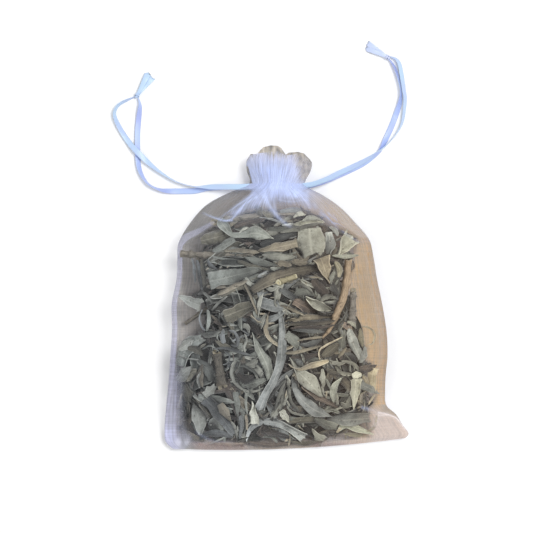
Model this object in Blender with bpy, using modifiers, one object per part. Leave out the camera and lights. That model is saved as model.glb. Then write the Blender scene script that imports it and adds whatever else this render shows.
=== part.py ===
"""A small sheer drawstring pouch filled with dried sage, lying on its back.

+Z is up, the pouch's mouth points along +Y and its back lies on the plane z = 0.
Every size and place below is in millimetres and is turned into metres as it is used.
"""

import math
import random
from collections import namedtuple

import bmesh
import bpy
import numpy as np
from mathutils import Matrix, Vector
from mathutils.bvhtree import BVHTree

for old_object in list(bpy.data.objects):
    bpy.data.objects.remove(old_object, do_unlink=True)

MM = 0.001

# The cloth and the pouch's outline
WALL = 0.8
HALF_LOOP = 20
SEAM_BAND = 3.4
SIDE_TUCK = 1.4
HALF_EDGE = 0.6
FIRST_HOLLOW_ROW = 1
BOTTOM_SAG = 2.8
SAG_ROWS = 5

# The herb
LEAF_THICKNESS = 0.8
LEAF_GRID = (6, 4)
LEAST_LEAF_WIDTH = 0.9
STEM_STEPS = 6
CLEARANCE = 0.35
CELL = 0.8
SOFT_CELLS = 5
CLOTH_CLEARANCE = 0.5
FULL_CURL_DEPTH = 14.0
FLAT_DEPTH = 2.5
MOST_TRIES = 8
STEP_CLEAR = 0.4

# The leafy stems at the bottom of the pile
SPRIG_SEED = 7
SPRIG_STEM_RADIUS = 1.5
SPRIG_STEM_STEPS = 7
SPRIG_BEND = 0.12
SPRIG_LEAF_GRID = (4, 2)
SPRIG_LEAF_REACH = (25, 38)
SPRIG_LEAF_WIDTH = (7.5, 10.5)
SPRIG_LEAF_LEAN = (18, 42)
SPRIG_LEAF_BOW = 3.0
SPRIG_LEAF_LIFT = 0.6
FIRST_LEAF_SHARE = 0.22
LAST_LEAF_SHARE = 0.92

# The satin ribbon, whose solid is a plain round tube
RIBBON_RADIUS = 0.7
RIBBON_STEPS = 32
DRAWSTRING_RADIUS = 0.55
DRAWSTRING_STEPS = 24
KNOT_HALF_SIZE = (2.3, 1.7, 1.5)
TAIL_HALF_WIDTH = (1.0, 2.2)
TAIL_RISE = 0.8

parts = bpy.data.collections.new("sage_pouch")
bpy.context.scene.collection.children.link(parts)


def finish(name, colour, roughness):
    """A plain Principled material for one sub-part."""
    material = bpy.data.materials.new(name)
    material.use_nodes = True
    shader = material.node_tree.nodes["Principled BSDF"]
    shader.inputs["Base Color"].default_value = (*colour, 1.0)
    shader.inputs["Roughness"].default_value = roughness
    shader.inputs["Metallic"].default_value = 0.0
    material.diffuse_color = (*colour, 1.0)
    return material


def add_part(name, data, colour, roughness):
    """A named object of the pouch, with its own material."""
    part = bpy.data.objects.new(name, data)
    parts.objects.link(part)
    data.materials.append(finish(name, colour, roughness))
    return part


def smooth_point(points, share):
    """A place at this share of a smooth curve through the points."""
    last = len(points) - 1
    place = min(max(share, 0.0), 1.0) * last
    start = min(int(place), last - 1)
    t = place - start
    before = points[max(start - 1, 0)]
    here = points[start]
    there = points[start + 1]
    after = points[min(start + 2, last)]
    return tuple(
        0.5 * (2 * b + (c - a) * t + (2 * a - 5 * b + 4 * c - d) * t**2 + (3 * b - a - 3 * c + d) * t**3)
        for a, b, c, d in zip(before, here, there, after)
    )


# The pouch: each row is one loop of cloth across it, from the sewn bottom to the frilled mouth.
# edge is the height of its two sides, crown and base those of its front and back at the middle.
Row = namedtuple("Row", "left right edge crown base ripple")
POUCH_ROWS = (
    Row((-60.8, -81.0), (63.4, -75.4), 3.0, 3.6, 2.4, 0.0),
    Row((-64.6, -77.2), (65.2, -72.8), 3.2, 7.0, 0.7, 0.0),
    Row((-65.2, -71.0), (62.1, -68.3), 4.5, 13.0, 0.2, 0.0),
    Row((-64.8, -64.3), (58.4, -62.5), 6.0, 17.5, 0.0, 0.0),
    Row((-64.2, -57.6), (53.2, -57.4), 7.5, 23.0, 0.0, 0.0),
    Row((-63.4, -49.5), (52.6, -49.0), 9.0, 28.5, 0.0, 0.0),
    Row((-62.6, -40.9), (52.9, -40.9), 10.0, 33.0, 0.0, 0.0),
    Row((-61.8, -29.5), (53.8, -31.0), 11.0, 36.5, 0.0, 0.0),
    Row((-61.0, -17.4), (53.3, -18.5), 11.5, 38.5, 0.0, 0.0),
    Row((-61.2, -3.6), (51.2, -5.0), 11.5, 38.5, 0.0, 0.0),
    Row((-58.6, 9.8), (48.2, 9.8), 11.0, 37.5, 0.0, 0.0),
    Row((-58.2, 20.0), (46.4, 21.0), 10.5, 35.5, 0.0, 0.2),
    Row((-57.6, 28.9), (44.0, 30.8), 10.0, 32.0, 0.0, 0.5),
    Row((-51.5, 39.5), (36.9, 39.5), 9.5, 27.0, 0.2, 0.9),
    Row((-43.1, 48.9), (28.5, 48.1), 8.8, 21.5, 0.8, 1.3),
    Row((-32.0, 55.2), (19.5, 54.3), 8.0, 16.0, 1.8, 1.5),
    Row((-21.6, 59.4), (10.4, 59.2), 7.5, 12.4, 2.8, 1.1),
    Row((-20.8, 62.4), (10.2, 62.4), 7.5, 12.8, 2.8, 1.2),
    Row((-21.2, 67.2), (12.6, 66.8), 7.5, 14.0, 2.2, 1.6),
    Row((-21.4, 71.8), (13.6, 71.2), 7.5, 15.5, 1.8, 2.0),
    Row((-19.6, 74.0), (11.4, 74.0), 7.5, 16.2, 1.6, 2.2),
)
NECK_ROW = 16
ROUND_ROWS = 4


def bump(distance):
    return max(0.0, 1.0 - distance * distance)


def rim_lift(across, is_front):
    """How far the frill's rim stands beyond its last row: low in front, three lobes behind."""
    if is_front:
        return 1.6 * bump(across)
    lobes = 7.6 * bump((across + 0.1) / 0.5) + 3.4 * bump((across - 0.72) / 0.34) + 2.4 * bump((across + 0.8) / 0.3)
    return lobes


def front_height(row, roundness, across):
    rise = max(0.0, 1.0 - abs(across) ** (2.2 - 0.2 * roundness)) ** (0.62 - 0.12 * roundness)
    return row.edge + HALF_EDGE + (row.crown - row.edge - HALF_EDGE) * rise


def back_height(row, roundness, across):
    fall = max(0.0, 1.0 - abs(across) ** (4.0 - 2.0 * roundness)) ** (0.6 - 0.1 * roundness)
    depth = (row.edge - HALF_EDGE - row.base) * (1.1 - 0.1 * roundness)
    return max(row.base, row.edge - HALF_EDGE - depth * fall)


def cloth_loop(index, is_lining, is_rippled=True):
    """The points of one row: the front from right to left, then the back from left to right."""
    row = POUCH_ROWS[index]
    roundness = min(max((index - NECK_ROW + ROUND_ROWS) / ROUND_ROWS, 0.0), 1.0)
    width = row.right[0] - row.left[0]
    left_tuck = (SEAM_BAND + (SIDE_TUCK - SEAM_BAND) * roundness) if is_lining else 0.0
    right_tuck = SIDE_TUCK if is_lining else 0.0
    wall = WALL if is_lining else 0.0
    sag = BOTTOM_SAG * max(0.0, 1.0 - index / SAG_ROWS)
    points = []
    for is_front in (True, False):
        for step in range(HALF_LOOP + 1):
            angle = math.pi * step / HALF_LOOP
            side = math.cos(angle) if is_front else -math.cos(angle)
            x = row.left[0] + left_tuck + (width - left_tuck - right_tuck) * (side + 1) / 2
            across = 2 * (x - row.left[0]) / width - 1
            y = row.left[1] + (row.right[1] - row.left[1]) * (across + 1) / 2 - sag * (1 - across**2)
            if index == len(POUCH_ROWS) - 1:
                y += rim_lift(across, is_front)
            if is_front:
                z = front_height(row, roundness, across) - wall
            else:
                z = back_height(row, roundness, across) + wall
            if is_rippled:
                ripple = row.ripple if is_front else min(row.ripple, row.base)
                z += ripple * math.cos(math.pi * step / 2) * math.sin(angle)
            points.append((x * MM, y * MM, z * MM))
    return points


def skin_between(mesh, loops):
    """Faces between each loop and the next."""
    rings = [[mesh.verts.new(point) for point in loop] for loop in loops]
    count = len(rings[0])
    for ring, following in zip(rings, rings[1:]):
        for k in range(count):
            after = (k + 1) % count
            mesh.faces.new((ring[k], ring[after], following[after], following[k]))
    return rings


def close_seam(mesh, ring):
    """Faces that join the front and the back of the lowest loop."""
    count = len(ring)
    for k in range(HALF_LOOP):
        mesh.faces.new((ring[k], ring[k + 1], ring[count - 2 - k], ring[count - 1 - k]))


def make_pouch():
    mesh = bmesh.new()
    rows = range(len(POUCH_ROWS))
    outside = skin_between(mesh, [cloth_loop(i, False) for i in rows])
    lining = skin_between(mesh, [cloth_loop(i, True) for i in rows if i >= FIRST_HOLLOW_ROW])
    close_seam(mesh, outside[0])
    close_seam(mesh, lining[0])
    count = len(outside[0])
    for k in range(count):
        after = (k + 1) % count
        mesh.faces.new((outside[-1][k], outside[-1][after], lining[-1][after], lining[-1][k]))
    bmesh.ops.triangulate(mesh, faces=mesh.faces[:], quad_method="FIXED")
    bmesh.ops.recalc_face_normals(mesh, faces=mesh.faces[:])
    data = bpy.data.meshes.new("organza_pouch")
    mesh.to_mesh(data)
    mesh.free()
    return add_part("organza_pouch", data, (0.80, 0.80, 0.86), 0.55)


pouch = make_pouch()


# The room inside the pouch: two smooth sheets, the lining of its front and of its back
def lining_sheet(is_front):
    mesh = bmesh.new()
    loops = []
    for index in range(FIRST_HOLLOW_ROW, NECK_ROW + 1):
        loop = cloth_loop(index, True, is_rippled=False)
        loops.append(loop[: HALF_LOOP + 1] if is_front else loop[HALF_LOOP + 1 :])
    rings = [[mesh.verts.new(point) for point in loop] for loop in loops]
    for ring, following in zip(rings, rings[1:]):
        for k in range(HALF_LOOP):
            mesh.faces.new((ring[k], ring[k + 1], following[k + 1], following[k]))
    sheet = BVHTree.FromBMesh(mesh)
    mesh.free()
    return sheet


FRONT_LINING = lining_sheet(True)
BACK_LINING = lining_sheet(False)
ROOM_LEFT = -62.0
ROOM_RIGHT = 62.0
ROOM_BOTTOM = -80.0
ROOM_TOP = 56.0
EDGE_MARGIN = 1.7
FAR = 1.0


def sheet_height(sheet, x, y, direction):
    """Where a vertical line at x, y in metres meets a sheet, or None beside it."""
    hit = sheet.ray_cast(Vector((x, y, -direction * FAR)), Vector((0, 0, direction)))
    return None if hit[0] is None else hit[0].z


def keep_inside(x, y):
    """x, y in millimetres, moved in where it would come too near the pouch's sides."""
    rows = POUCH_ROWS[FIRST_HOLLOW_ROW : NECK_ROW + 1]
    lowest = rows[0]
    across = 2 * (x - lowest.left[0]) / (lowest.right[0] - lowest.left[0]) - 1
    bottom = lowest.left[1] + (lowest.right[1] - lowest.left[1]) * (across + 1) / 2
    bottom -= BOTTOM_SAG * (1 - FIRST_HOLLOW_ROW / SAG_ROWS) * (1 - across**2)
    y = min(max(y, bottom + EDGE_MARGIN), ROOM_TOP - 2 * EDGE_MARGIN)
    left = float(np.interp(y, [row.left[1] for row in rows], [row.left[0] for row in rows]))
    right = float(np.interp(y, [row.right[1] for row in rows], [row.right[0] for row in rows]))
    return min(max(x, left + SEAM_BAND + EDGE_MARGIN), right - SIDE_TUCK - EDGE_MARGIN), y


def room_at(x, y):
    """The heights of the back and front lining, in millimetres, over a place in millimetres."""
    for _ in range(12):
        low = sheet_height(BACK_LINING, x * MM, y * MM, 1)
        high = sheet_height(FRONT_LINING, x * MM, y * MM, -1)
        if low is not None and high is not None:
            return low / MM, high / MM
        x *= 0.985
        y *= 0.985
    return 5.0, 7.0


columns = int((ROOM_RIGHT - ROOM_LEFT) / CELL) + 1
lines = int((ROOM_TOP - ROOM_BOTTOM) / CELL) + 1
lowest_free = np.zeros((columns, lines))
highest_free = np.zeros((columns, lines))
for column in range(columns):
    for line in range(lines):
        low, high = room_at(ROOM_LEFT + column * CELL, ROOM_BOTTOM + line * CELL)
        lowest_free[column, line] = low + CLOTH_CLEARANCE
        highest_free[column, line] = high - CLOTH_CLEARANCE


def evaluated_triangles(part):
    """The corners of every triangle of a part as it is drawn, in millimetres."""
    bpy.context.view_layer.update()
    drawn = part.evaluated_get(bpy.context.evaluated_depsgraph_get())
    data = drawn.to_mesh()
    data.calc_loop_triangles()
    points = np.array([drawn.matrix_world @ vertex.co for vertex in data.vertices]) / MM
    corners = np.array([triangle.vertices for triangle in data.loop_triangles])
    drawn.to_mesh_clear()
    return points, corners


SHARES = [(a / 10, b / 10, (10 - a - b) / 10) for a in range(11) for b in range(11 - a)]


def surface_points(part):
    points, corners = evaluated_triangles(part)
    return np.einsum("sk,tkd->tsd", np.array(SHARES), points[corners]).reshape(-1, 3)


def cells_of(points):
    column = np.rint((points[:, 0] - ROOM_LEFT) / CELL).astype(int)
    line = np.rint((points[:, 1] - ROOM_BOTTOM) / CELL).astype(int)
    return np.clip(column, 1, columns - 2), np.clip(line, 1, lines - 2)


def spread(values, pick):
    """Each cell takes the highest or lowest value among itself and its neighbours."""
    wide = values.copy()
    for across in (-1, 0, 1):
        for along in (-1, 0, 1):
            wide = pick(wide, np.roll(values, (across, along), axis=(0, 1)))
    return wide


def softened(heights):
    """The same heights with their steps turned into slopes, as a leaf pressed on them would lie."""
    for axis in (0, 1):
        heights = sum(np.roll(heights, shift, axis=axis) for shift in range(-SOFT_CELLS, SOFT_CELLS + 1))
        heights = heights / (2 * SOFT_CELLS + 1)
    return heights


def height_over(heights, x, y):
    """The height that a grid of cells gives at a place in millimetres, blended from the four cells round it."""
    column = min(max((x - ROOM_LEFT) / CELL, 0.0), columns - 1.001)
    line = min(max((y - ROOM_BOTTOM) / CELL, 0.0), lines - 1.001)
    i, j = int(column), int(line)
    a, b = column - i, line - j
    near = heights[i, j] * (1 - a) + heights[i + 1, j] * a
    far = heights[i, j + 1] * (1 - a) + heights[i + 1, j + 1] * a
    return near * (1 - b) + far * b


placed = []


def touches_placed(part):
    points, corners = evaluated_triangles(part)
    tree = BVHTree.FromPolygons(points.tolist(), corners.tolist())
    if any(tree.overlap(other) for other in placed):
        return None
    return tree


def take_room(part, is_hung):
    """Marks the room that a part fills: below it for the next hung piece, above it for the next laid one."""
    points = surface_points(part)
    cells = cells_of(points)
    if is_hung:
        low = np.full_like(highest_free, np.inf)
        np.minimum.at(low, cells, points[:, 2] - CLEARANCE)
        highest_free[:] = np.minimum(highest_free, spread(low, np.minimum))
    else:
        high = np.full_like(lowest_free, -np.inf)
        np.maximum.at(high, cells, points[:, 2] + CLEARANCE)
        lowest_free[:] = np.maximum(lowest_free, spread(high, np.maximum))


def settle(part, is_hung):
    """Moves a piece up under the front cloth, or down onto what lies below, until it rests there."""
    points = surface_points(part)
    column, line = cells_of(points)
    if is_hung:
        shift = float((highest_free[column, line] - points[:, 2]).min())
    else:
        shift = float((lowest_free[column, line] - points[:, 2]).max())
    step = -STEP_CLEAR if is_hung else STEP_CLEAR
    for _ in range(MOST_TRIES):
        part.location.z += shift * MM
        tree = touches_placed(part)
        if tree:
            break
        shift = step
    points = surface_points(part)
    column, line = cells_of(points)
    room_over = float((highest_free[column, line] - points[:, 2]).min())
    room_under = float((points[:, 2] - lowest_free[column, line]).min())
    if not tree or room_over < -0.01 and not is_hung or room_under < -0.01 and is_hung:
        print("no room for", part.name, round(room_over, 2), round(room_under, 2))
        return False
    placed.append(tree)
    take_room(part, is_hung)
    return True


def blade_width(widths, share):
    """The width at this share of a leaf from those at its foot, middle and tip."""
    foot, middle, tip = widths
    width = foot * (1 - share) * (1 - 2 * share) + 4 * middle * share * (1 - share) + tip * share * (2 * share - 1)
    return max(width, LEAST_LEAF_WIDTH)


def flatness(x, y):
    """How much of its curl a leaf keeps where the pouch is this deep."""
    low, high = room_at(x, y)
    return min(max((high - low - FLAT_DEPTH) / FULL_CURL_DEPTH, 0.0), 1.0)


def blade_mesh(name, spine, widths, curl, twist, bed, grid):
    """One curled leaf as an open sheet: spine in plan, curl of its edges and twist in degrees."""
    mesh = bmesh.new()
    bmesh.ops.create_grid(mesh, x_segments=grid[0], y_segments=grid[1], size=1.0)
    half_curl = math.radians(max(abs(curl), 2.0)) / 2
    for vertex in mesh.verts:
        share = (vertex.co.x + 1) / 2
        side = vertex.co.y
        centre = Vector(smooth_point(spine, share)[:2])
        ahead = Vector(smooth_point(spine, min(share + 0.02, 1.0))[:2])
        behind = Vector(smooth_point(spine, max(share - 0.02, 0.0))[:2])
        heading = (ahead - behind).normalized()
        radius = blade_width(widths, share) / 2 / half_curl
        out = radius * math.sin(half_curl * side)
        up = -math.copysign(radius * (1 - math.cos(half_curl * side)), curl)
        turn = math.radians(twist) * (share - 0.5)
        sideways = out * math.cos(turn) - up * math.sin(turn)
        lifted = out * math.sin(turn) + up * math.cos(turn)
        x, y = keep_inside(centre.x - heading.y * sideways, centre.y + heading.x * sideways)
        spine_height = smooth_point(spine, share)[2] if len(spine[0]) == 3 else 0.0
        z = height_over(bed, x, y) + (lifted + spine_height) * flatness(x, y)
        vertex.co = Vector((x * MM, y * MM, z * MM))
    bmesh.ops.triangulate(mesh, faces=mesh.faces[:], quad_method="FIXED")
    bmesh.ops.recalc_face_normals(mesh, faces=mesh.faces[:])
    data = bpy.data.meshes.new(name)
    mesh.to_mesh(data)
    mesh.free()
    return data


def thicken(part):
    solid = part.modifiers.new("thickness", "SOLIDIFY")
    solid.thickness = LEAF_THICKNESS * MM
    solid.offset = 0.0


def leaf(name, spine, widths, colour, curl=40):
    """A loose leaf just under the front cloth."""
    data = blade_mesh(name, spine, widths, curl, 0, softened(highest_free), LEAF_GRID)
    part = add_part(name, data, colour, 0.85)
    thicken(part)
    settle_or_drop(part, is_hung=True)


def tube_data(name, points, radius, sides_step):
    """A round tube with filled ends through points in millimetres."""
    data = bpy.data.curves.new(name, "CURVE")
    data.dimensions = "3D"
    data.bevel_depth = radius * MM
    data.bevel_resolution = sides_step
    data.use_fill_caps = True
    line = data.splines.new("POLY")
    line.points.add(len(points) - 1)
    for target, point in zip(line.points, points):
        target.co = (point[0] * MM, point[1] * MM, point[2] * MM, 1.0)
    return data


def stem_points(spine, bed, count):
    points = []
    for k in range(count):
        x, y = keep_inside(*smooth_point(spine, k / (count - 1))[:2])
        points.append((x, y, height_over(bed, x, y)))
    return points


def stem(name, spine, width, colour):
    """A loose length of cut stem just under the front cloth."""
    data = tube_data(name, stem_points(spine, front_bed, STEM_STEPS), width / 2, 1)
    settle_or_drop(add_part(name, data, colour, 0.8), is_hung=True)


def settle_or_drop(part, is_hung):
    if not settle(part, is_hung):
        bpy.data.objects.remove(part, do_unlink=True)


# Colours of the dried herb
MINT = (0.36, 0.44, 0.38)
PALE = (0.47, 0.50, 0.41)
BLUE_GREY = (0.31, 0.36, 0.37)
OLIVE = (0.29, 0.29, 0.21)
TAN = (0.43, 0.33, 0.23)
STRAW = (0.52, 0.46, 0.28)
BROWN = (0.20, 0.15, 0.11)
BARK = (0.28, 0.22, 0.17)


# The loose leaves and stems seen through the front, the uppermost first
front_bed = highest_free.copy()
leaf("leaf_curled_pale", [(-34.9, 41.0), (-31.2, 34.5), (-22.1, 32.5), (-10.9, 33.7)], (3, 6.5, 4), MINT, curl=70)
leaf("leaf_beige_long", [(-15.2, 24.7), (-6.1, 26.3), (5.6, 28.9)], (1.5, 5.2, 6.5), TAN, curl=30)
leaf("leaf_square_broad", [(12.3, 36.6), (12.5, 28.9), (13.6, 21.5)], (5, 13, 10), PALE, curl=30)
leaf("leaf_round_blue", [(22.7, 35.5), (23.2, 28.9), (22.1, 23.1)], (4, 7.5, 4), BLUE_GREY, curl=70)
leaf("leaf_wedge_green", [(27.2, 24.8), (33.0, 26.8), (40.0, 30.5)], (11, 8, 1), PALE, curl=35)
leaf("leaf_centre_long", [(-5.1, -2.0), (-2.4, -14.8), (-3.5, -29.2), (-4.0, -39.8), (-9.9, -50.5), (-14.1, -59.0)],
     (1.2, 5.5, 7), BLUE_GREY, curl=60)
leaf("leaf_elbow_thin", [(-9.9, -12.1), (-10.9, -19.6), (-6.1, -23.8), (0.3, -26.5), (6.1, -22.8)],
     (1.2, 2.6, 1.6), STRAW, curl=30)
stem("stem_long_tan", [(32.8, 20.4), (31.7, 8.2), (28.5, -4.1), (23.2, -13.2), (16.8, -19.6)], 4.2, TAN)
stem("stem_upper_grey", [(-57.3, 23.1), (-38.1, 22.5), (-15.2, 22.0)], 3.8, BARK)
stem("stem_cut_yellow", [(-4.0, 8.2), (2.9, 10.8), (7.2, 13.5)], 3.2, STRAW)
leaf("leaf_triangle_tan", [(14.1, 21.0), (17.9, 16.7), (21.6, 9.8)], (8.5, 7, 1.2), TAN, curl=25)
leaf("leaf_tan_large", [(-18.4, 3.4), (-6.1, 10.3), (9.9, 14.6), (18.9, 15.6)], (4, 8.5, 4), TAN, curl=45)
leaf("leaf_broad_grey", [(-42.4, 8.7), (-30.1, 11.9), (-15.2, 14.6)], (6, 9, 5), MINT, curl=45)
leaf("leaf_crumpled_white", [(9.9, 1.2), (16.8, -3.0), (24.3, -5.2)], (2.5, 6, 4), PALE, curl=55)
leaf("leaf_folded_tan", [(-0.8, -14.8), (12.5, -12.6), (26.4, -10.5)], (4, 9.5, 5), TAN, curl=50)
leaf("leaf_blade_grey", [(-18.4, -20.6), (-13.1, -30.8), (-8.8, -42.5)], (2.5, 6.4, 5), MINT, curl=40)
leaf("leaf_yellow_narrow", [(2.9, -35.6), (12.5, -35.6), (22.1, -34.0)], (1.6, 4, 2.6), STRAW, curl=60)
leaf("leaf_broad_pale", [(1.3, -34.5), (9.3, -43.0), (17.9, -51.5)], (3, 10.5, 4), PALE, curl=30)
leaf("leaf_lower_arc", [(2.4, -41.9), (5.6, -49.9), (12.5, -57.4), (23.7, -62.7)], (3, 7, 1.2), BLUE_GREY, curl=50)
leaf("leaf_cupped_loop", [(-23.7, -30.8), (-28.5, -38.7), (-24.8, -46.6), (-15.8, -48.2), (-9.0, -43.6)],
     (2.5, 6, 2), PALE, curl=-90)
stem("stem_square_grey", [(-36.2, -29.2), (-34.9, -38.7), (-34.1, -47.8)], 4.6, BARK)
leaf("leaf_diagonal_blue", [(-44.0, -53.0), (-36.5, -62.7), (-26.5, -74.0)], (7, 7.5, 1.5), BLUE_GREY, curl=45)
leaf("leaf_spotted_pale", [(-46.6, -56.3), (-46.1, -64.3), (-45.6, -71.0)], (2, 7, 4), PALE, curl=40)
leaf("leaf_bright_shard", [(-18.9, -55.3), (-17.3, -61.7), (-17.3, -68.1)], (1.0, 3.8, 5.2), PALE, curl=15)
leaf("leaf_arched_low", [(-21.0, -73.6), (-19.6, -69.4), (-13.1, -65.2), (-1.9, -68.2), (8.3, -73.0)],
     (1.6, 4.6, 4.6), BLUE_GREY, curl=30)
leaf("leaf_tall_pale", [(36.5, -43.5), (36.5, -51.0), (36.5, -59.0)], (6.5, 7, 1.6), PALE, curl=40)
leaf("leaf_curly_white", [(25.9, -37.2), (31.7, -41.4), (38.6, -40.9)], (1.2, 3.4, 3.6), PALE, curl=50)
leaf("leaf_edge_yellow", [(43.4, -37.7), (45.0, -43.0), (46.3, -48.3)], (5, 5, 1.4), STRAW, curl=35)
leaf("leaf_grey_wide", [(20.5, -64.3), (31.2, -64.9), (43.4, -62.7)], (4.5, 7.5, 5), BLUE_GREY, curl=35)
leaf("leaf_corner_green", [(29.6, -67.8), (37.4, -69.4), (45.0, -70.6)], (2.6, 4, 1), MINT, curl=25)
leaf("leaf_left_crumpled", [(-56.0, -36.6), (-53.0, -26.6), (-44.5, -21.4)], (4.5, 11, 6), MINT, curl=60)
leaf("leaf_left_low", [(-57.4, -43.4), (-53.6, -41.4), (-47.6, -38.7)], (4, 8, 4), OLIVE, curl=45)
leaf("leaf_fan_left", [(-56.6, 0.7), (-51.4, -2.3), (-44.5, -4.6)], (1.2, 7.5, 5), PALE, curl=25)
leaf("leaf_olive_square", [(-32.8, -10.0), (-25.9, -7.3), (-18.9, -4.6)], (6, 7.8, 5.5), OLIVE, curl=20)
stem("stem_right_dark", [(35.7, 3.9), (34.9, -5.7), (33.8, -14.2)], 4.2, BARK)
leaf("leaf_right_lilac", [(32.8, -17.4), (35.4, -24.9), (38.6, -31.4)], (2, 5.2, 3), BLUE_GREY, curl=40)
leaf("leaf_brown_smooth", [(4.6, -2.6), (11.5, -4.0), (19.9, -8.8)], (4, 7.5, 3), BROWN, curl=40)
leaf("leaf_brown_folds", [(-45.5, 30.0), (-38.1, 31.6), (-29.2, 34.2)], (4, 8, 4), OLIVE, curl=45)
stem("stem_upper_dark", [(-37.6, 39.9), (-13.1, 43.0), (9.9, 44.5)], 3.4, BROWN)
leaf("leaf_blue_folded", [(-14.1, 27.9), (-3.5, 31.6), (7.1, 34.3)], (3, 5, 3), BLUE_GREY, curl=60)
leaf("leaf_fan_upper", [(3.1, 38.2), (11.0, 39.8), (19.9, 40.1)], (2, 4.6, 2), PALE, curl=40)


# The leafy stems below them, each with its leaves fused to its stem
def joined(name, pieces, colour):
    """One part from several closed meshes."""
    others = bpy.data.collections.new(name + "_pieces")
    bpy.context.scene.collection.children.link(others)
    for piece in pieces[1:]:
        others.objects.link(piece)
    bpy.context.scene.collection.objects.link(pieces[0])
    union = pieces[0].modifiers.new("union", "BOOLEAN")
    union.operation = "UNION"
    union.operand_type = "COLLECTION"
    union.collection = others
    union.solver = "EXACT"
    bpy.context.view_layer.update()
    drawn = pieces[0].evaluated_get(bpy.context.evaluated_depsgraph_get())
    data = bpy.data.meshes.new_from_object(drawn)
    for piece in pieces:
        bpy.data.objects.remove(piece, do_unlink=True)
    bpy.data.collections.remove(others)
    data.materials.clear()
    return add_part(name, data, colour, 0.85)


def closed_copy(name, data, is_leaf):
    """A loose object whose mesh is the closed form of a leaf sheet or a tube."""
    source = bpy.data.objects.new(name, data)
    bpy.context.scene.collection.objects.link(source)
    if is_leaf:
        thicken(source)
    bpy.context.view_layer.update()
    solid = bpy.data.meshes.new_from_object(source.evaluated_get(bpy.context.evaluated_depsgraph_get()))
    bpy.data.objects.remove(source, do_unlink=True)
    mesh = bmesh.new()
    mesh.from_mesh(solid)
    bmesh.ops.remove_doubles(mesh, verts=mesh.verts[:], dist=0.00001)
    bmesh.ops.recalc_face_normals(mesh, faces=mesh.faces[:])
    mesh.to_mesh(solid)
    mesh.free()
    return bpy.data.objects.new(name, solid)


def sprig(name, foot, heading, length, leaf_count, colour, seed):
    """A cut leafy stem: a bent stem with leaves on both sides that lie forward along it."""
    chance = random.Random(SPRIG_SEED * 100 + seed)
    turn = math.radians(heading)
    ahead = Vector((math.cos(turn), math.sin(turn)))
    beside = Vector((-ahead.y, ahead.x))
    bend = chance.uniform(-SPRIG_BEND, SPRIG_BEND) * length
    start = Vector(foot)
    middle = start + ahead * length * 0.5 + beside * bend
    tip = start + ahead * length
    spine = [tuple(start), tuple(middle), tuple(tip)]
    bed = softened(lowest_free)
    stem_data = tube_data(name + "_stem", stem_points(spine, bed, SPRIG_STEM_STEPS), SPRIG_STEM_RADIUS, 1)
    pieces = [closed_copy(name + "_stem", stem_data, False)]
    for k in range(leaf_count):
        share = FIRST_LEAF_SHARE + (LAST_LEAF_SHARE - FIRST_LEAF_SHARE) * k / (leaf_count - 1)
        side = 1 if k % 2 else -1
        root = Vector(smooth_point(spine, share)[:2])
        lean = turn + side * math.radians(chance.uniform(*SPRIG_LEAF_LEAN))
        reach = chance.uniform(*SPRIG_LEAF_REACH)
        out = Vector((math.cos(lean), math.sin(lean)))
        bow = Vector((-out.y, out.x)) * chance.uniform(-SPRIG_LEAF_BOW, SPRIG_LEAF_BOW)
        halfway = root + out * reach * 0.5 + bow
        leaf_spine = [(*root, 0.0), (*halfway, SPRIG_LEAF_LIFT), (*(root + out * reach), 0.0)]
        widths = (2.4, chance.uniform(*SPRIG_LEAF_WIDTH), 1.2)
        curl = chance.uniform(15, 60)
        twist = chance.uniform(-15, 15)
        data = blade_mesh(f"{name}_leaf_{k}", leaf_spine, widths, curl, twist, bed, SPRIG_LEAF_GRID)
        pieces.append(closed_copy(f"{name}_leaf_{k}", data, True))
    part = joined(name, pieces, colour)
    settle_or_drop(part, is_hung=False)


# foot, heading, length, leaves
LAID_SPRIGS = (
    ((-52, -58), 62, 58, 5),
    ((-30, -70), 76, 62, 5),
    ((0, -68), 96, 60, 5),
    ((26, -60), 104, 56, 5),
    ((46, -40), 120, 54, 4),
    ((-54, -14), 30, 56, 5),
    ((-48, 20), 8, 54, 4),
    ((-56, -40), 22, 60, 5),
    ((-14, -62), 58, 56, 5),
)
for number, (foot, heading, length, leaf_count) in enumerate(LAID_SPRIGS, 1):
    sprig(f"sprig_{number:02d}", foot, heading, length, leaf_count, (MINT, OLIVE, PALE)[number % 3], number)


# The drawstring inside the gathered neck, and the ribbon loops that leave it on both sides
NECK_CENTRE = (-5.6, 59.3, 7.6)
NECK_RING = (18.0, 6.8)
ring_points = []
for k in range(DRAWSTRING_STEPS):
    angle = 2 * math.pi * k / DRAWSTRING_STEPS
    x = NECK_CENTRE[0] + NECK_RING[0] * math.cos(angle)
    z = NECK_CENTRE[2] + NECK_RING[1] * math.sin(angle)
    ring_points.append((x, NECK_CENTRE[1], z))
ring_data = tube_data("drawstring_in_casing", ring_points, DRAWSTRING_RADIUS, 1)
ring_data.splines[0].use_cyclic_u = True
ring_data.use_fill_caps = False
add_part("drawstring_in_casing", ring_data, (0.62, 0.68, 0.84), 0.35)

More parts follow.
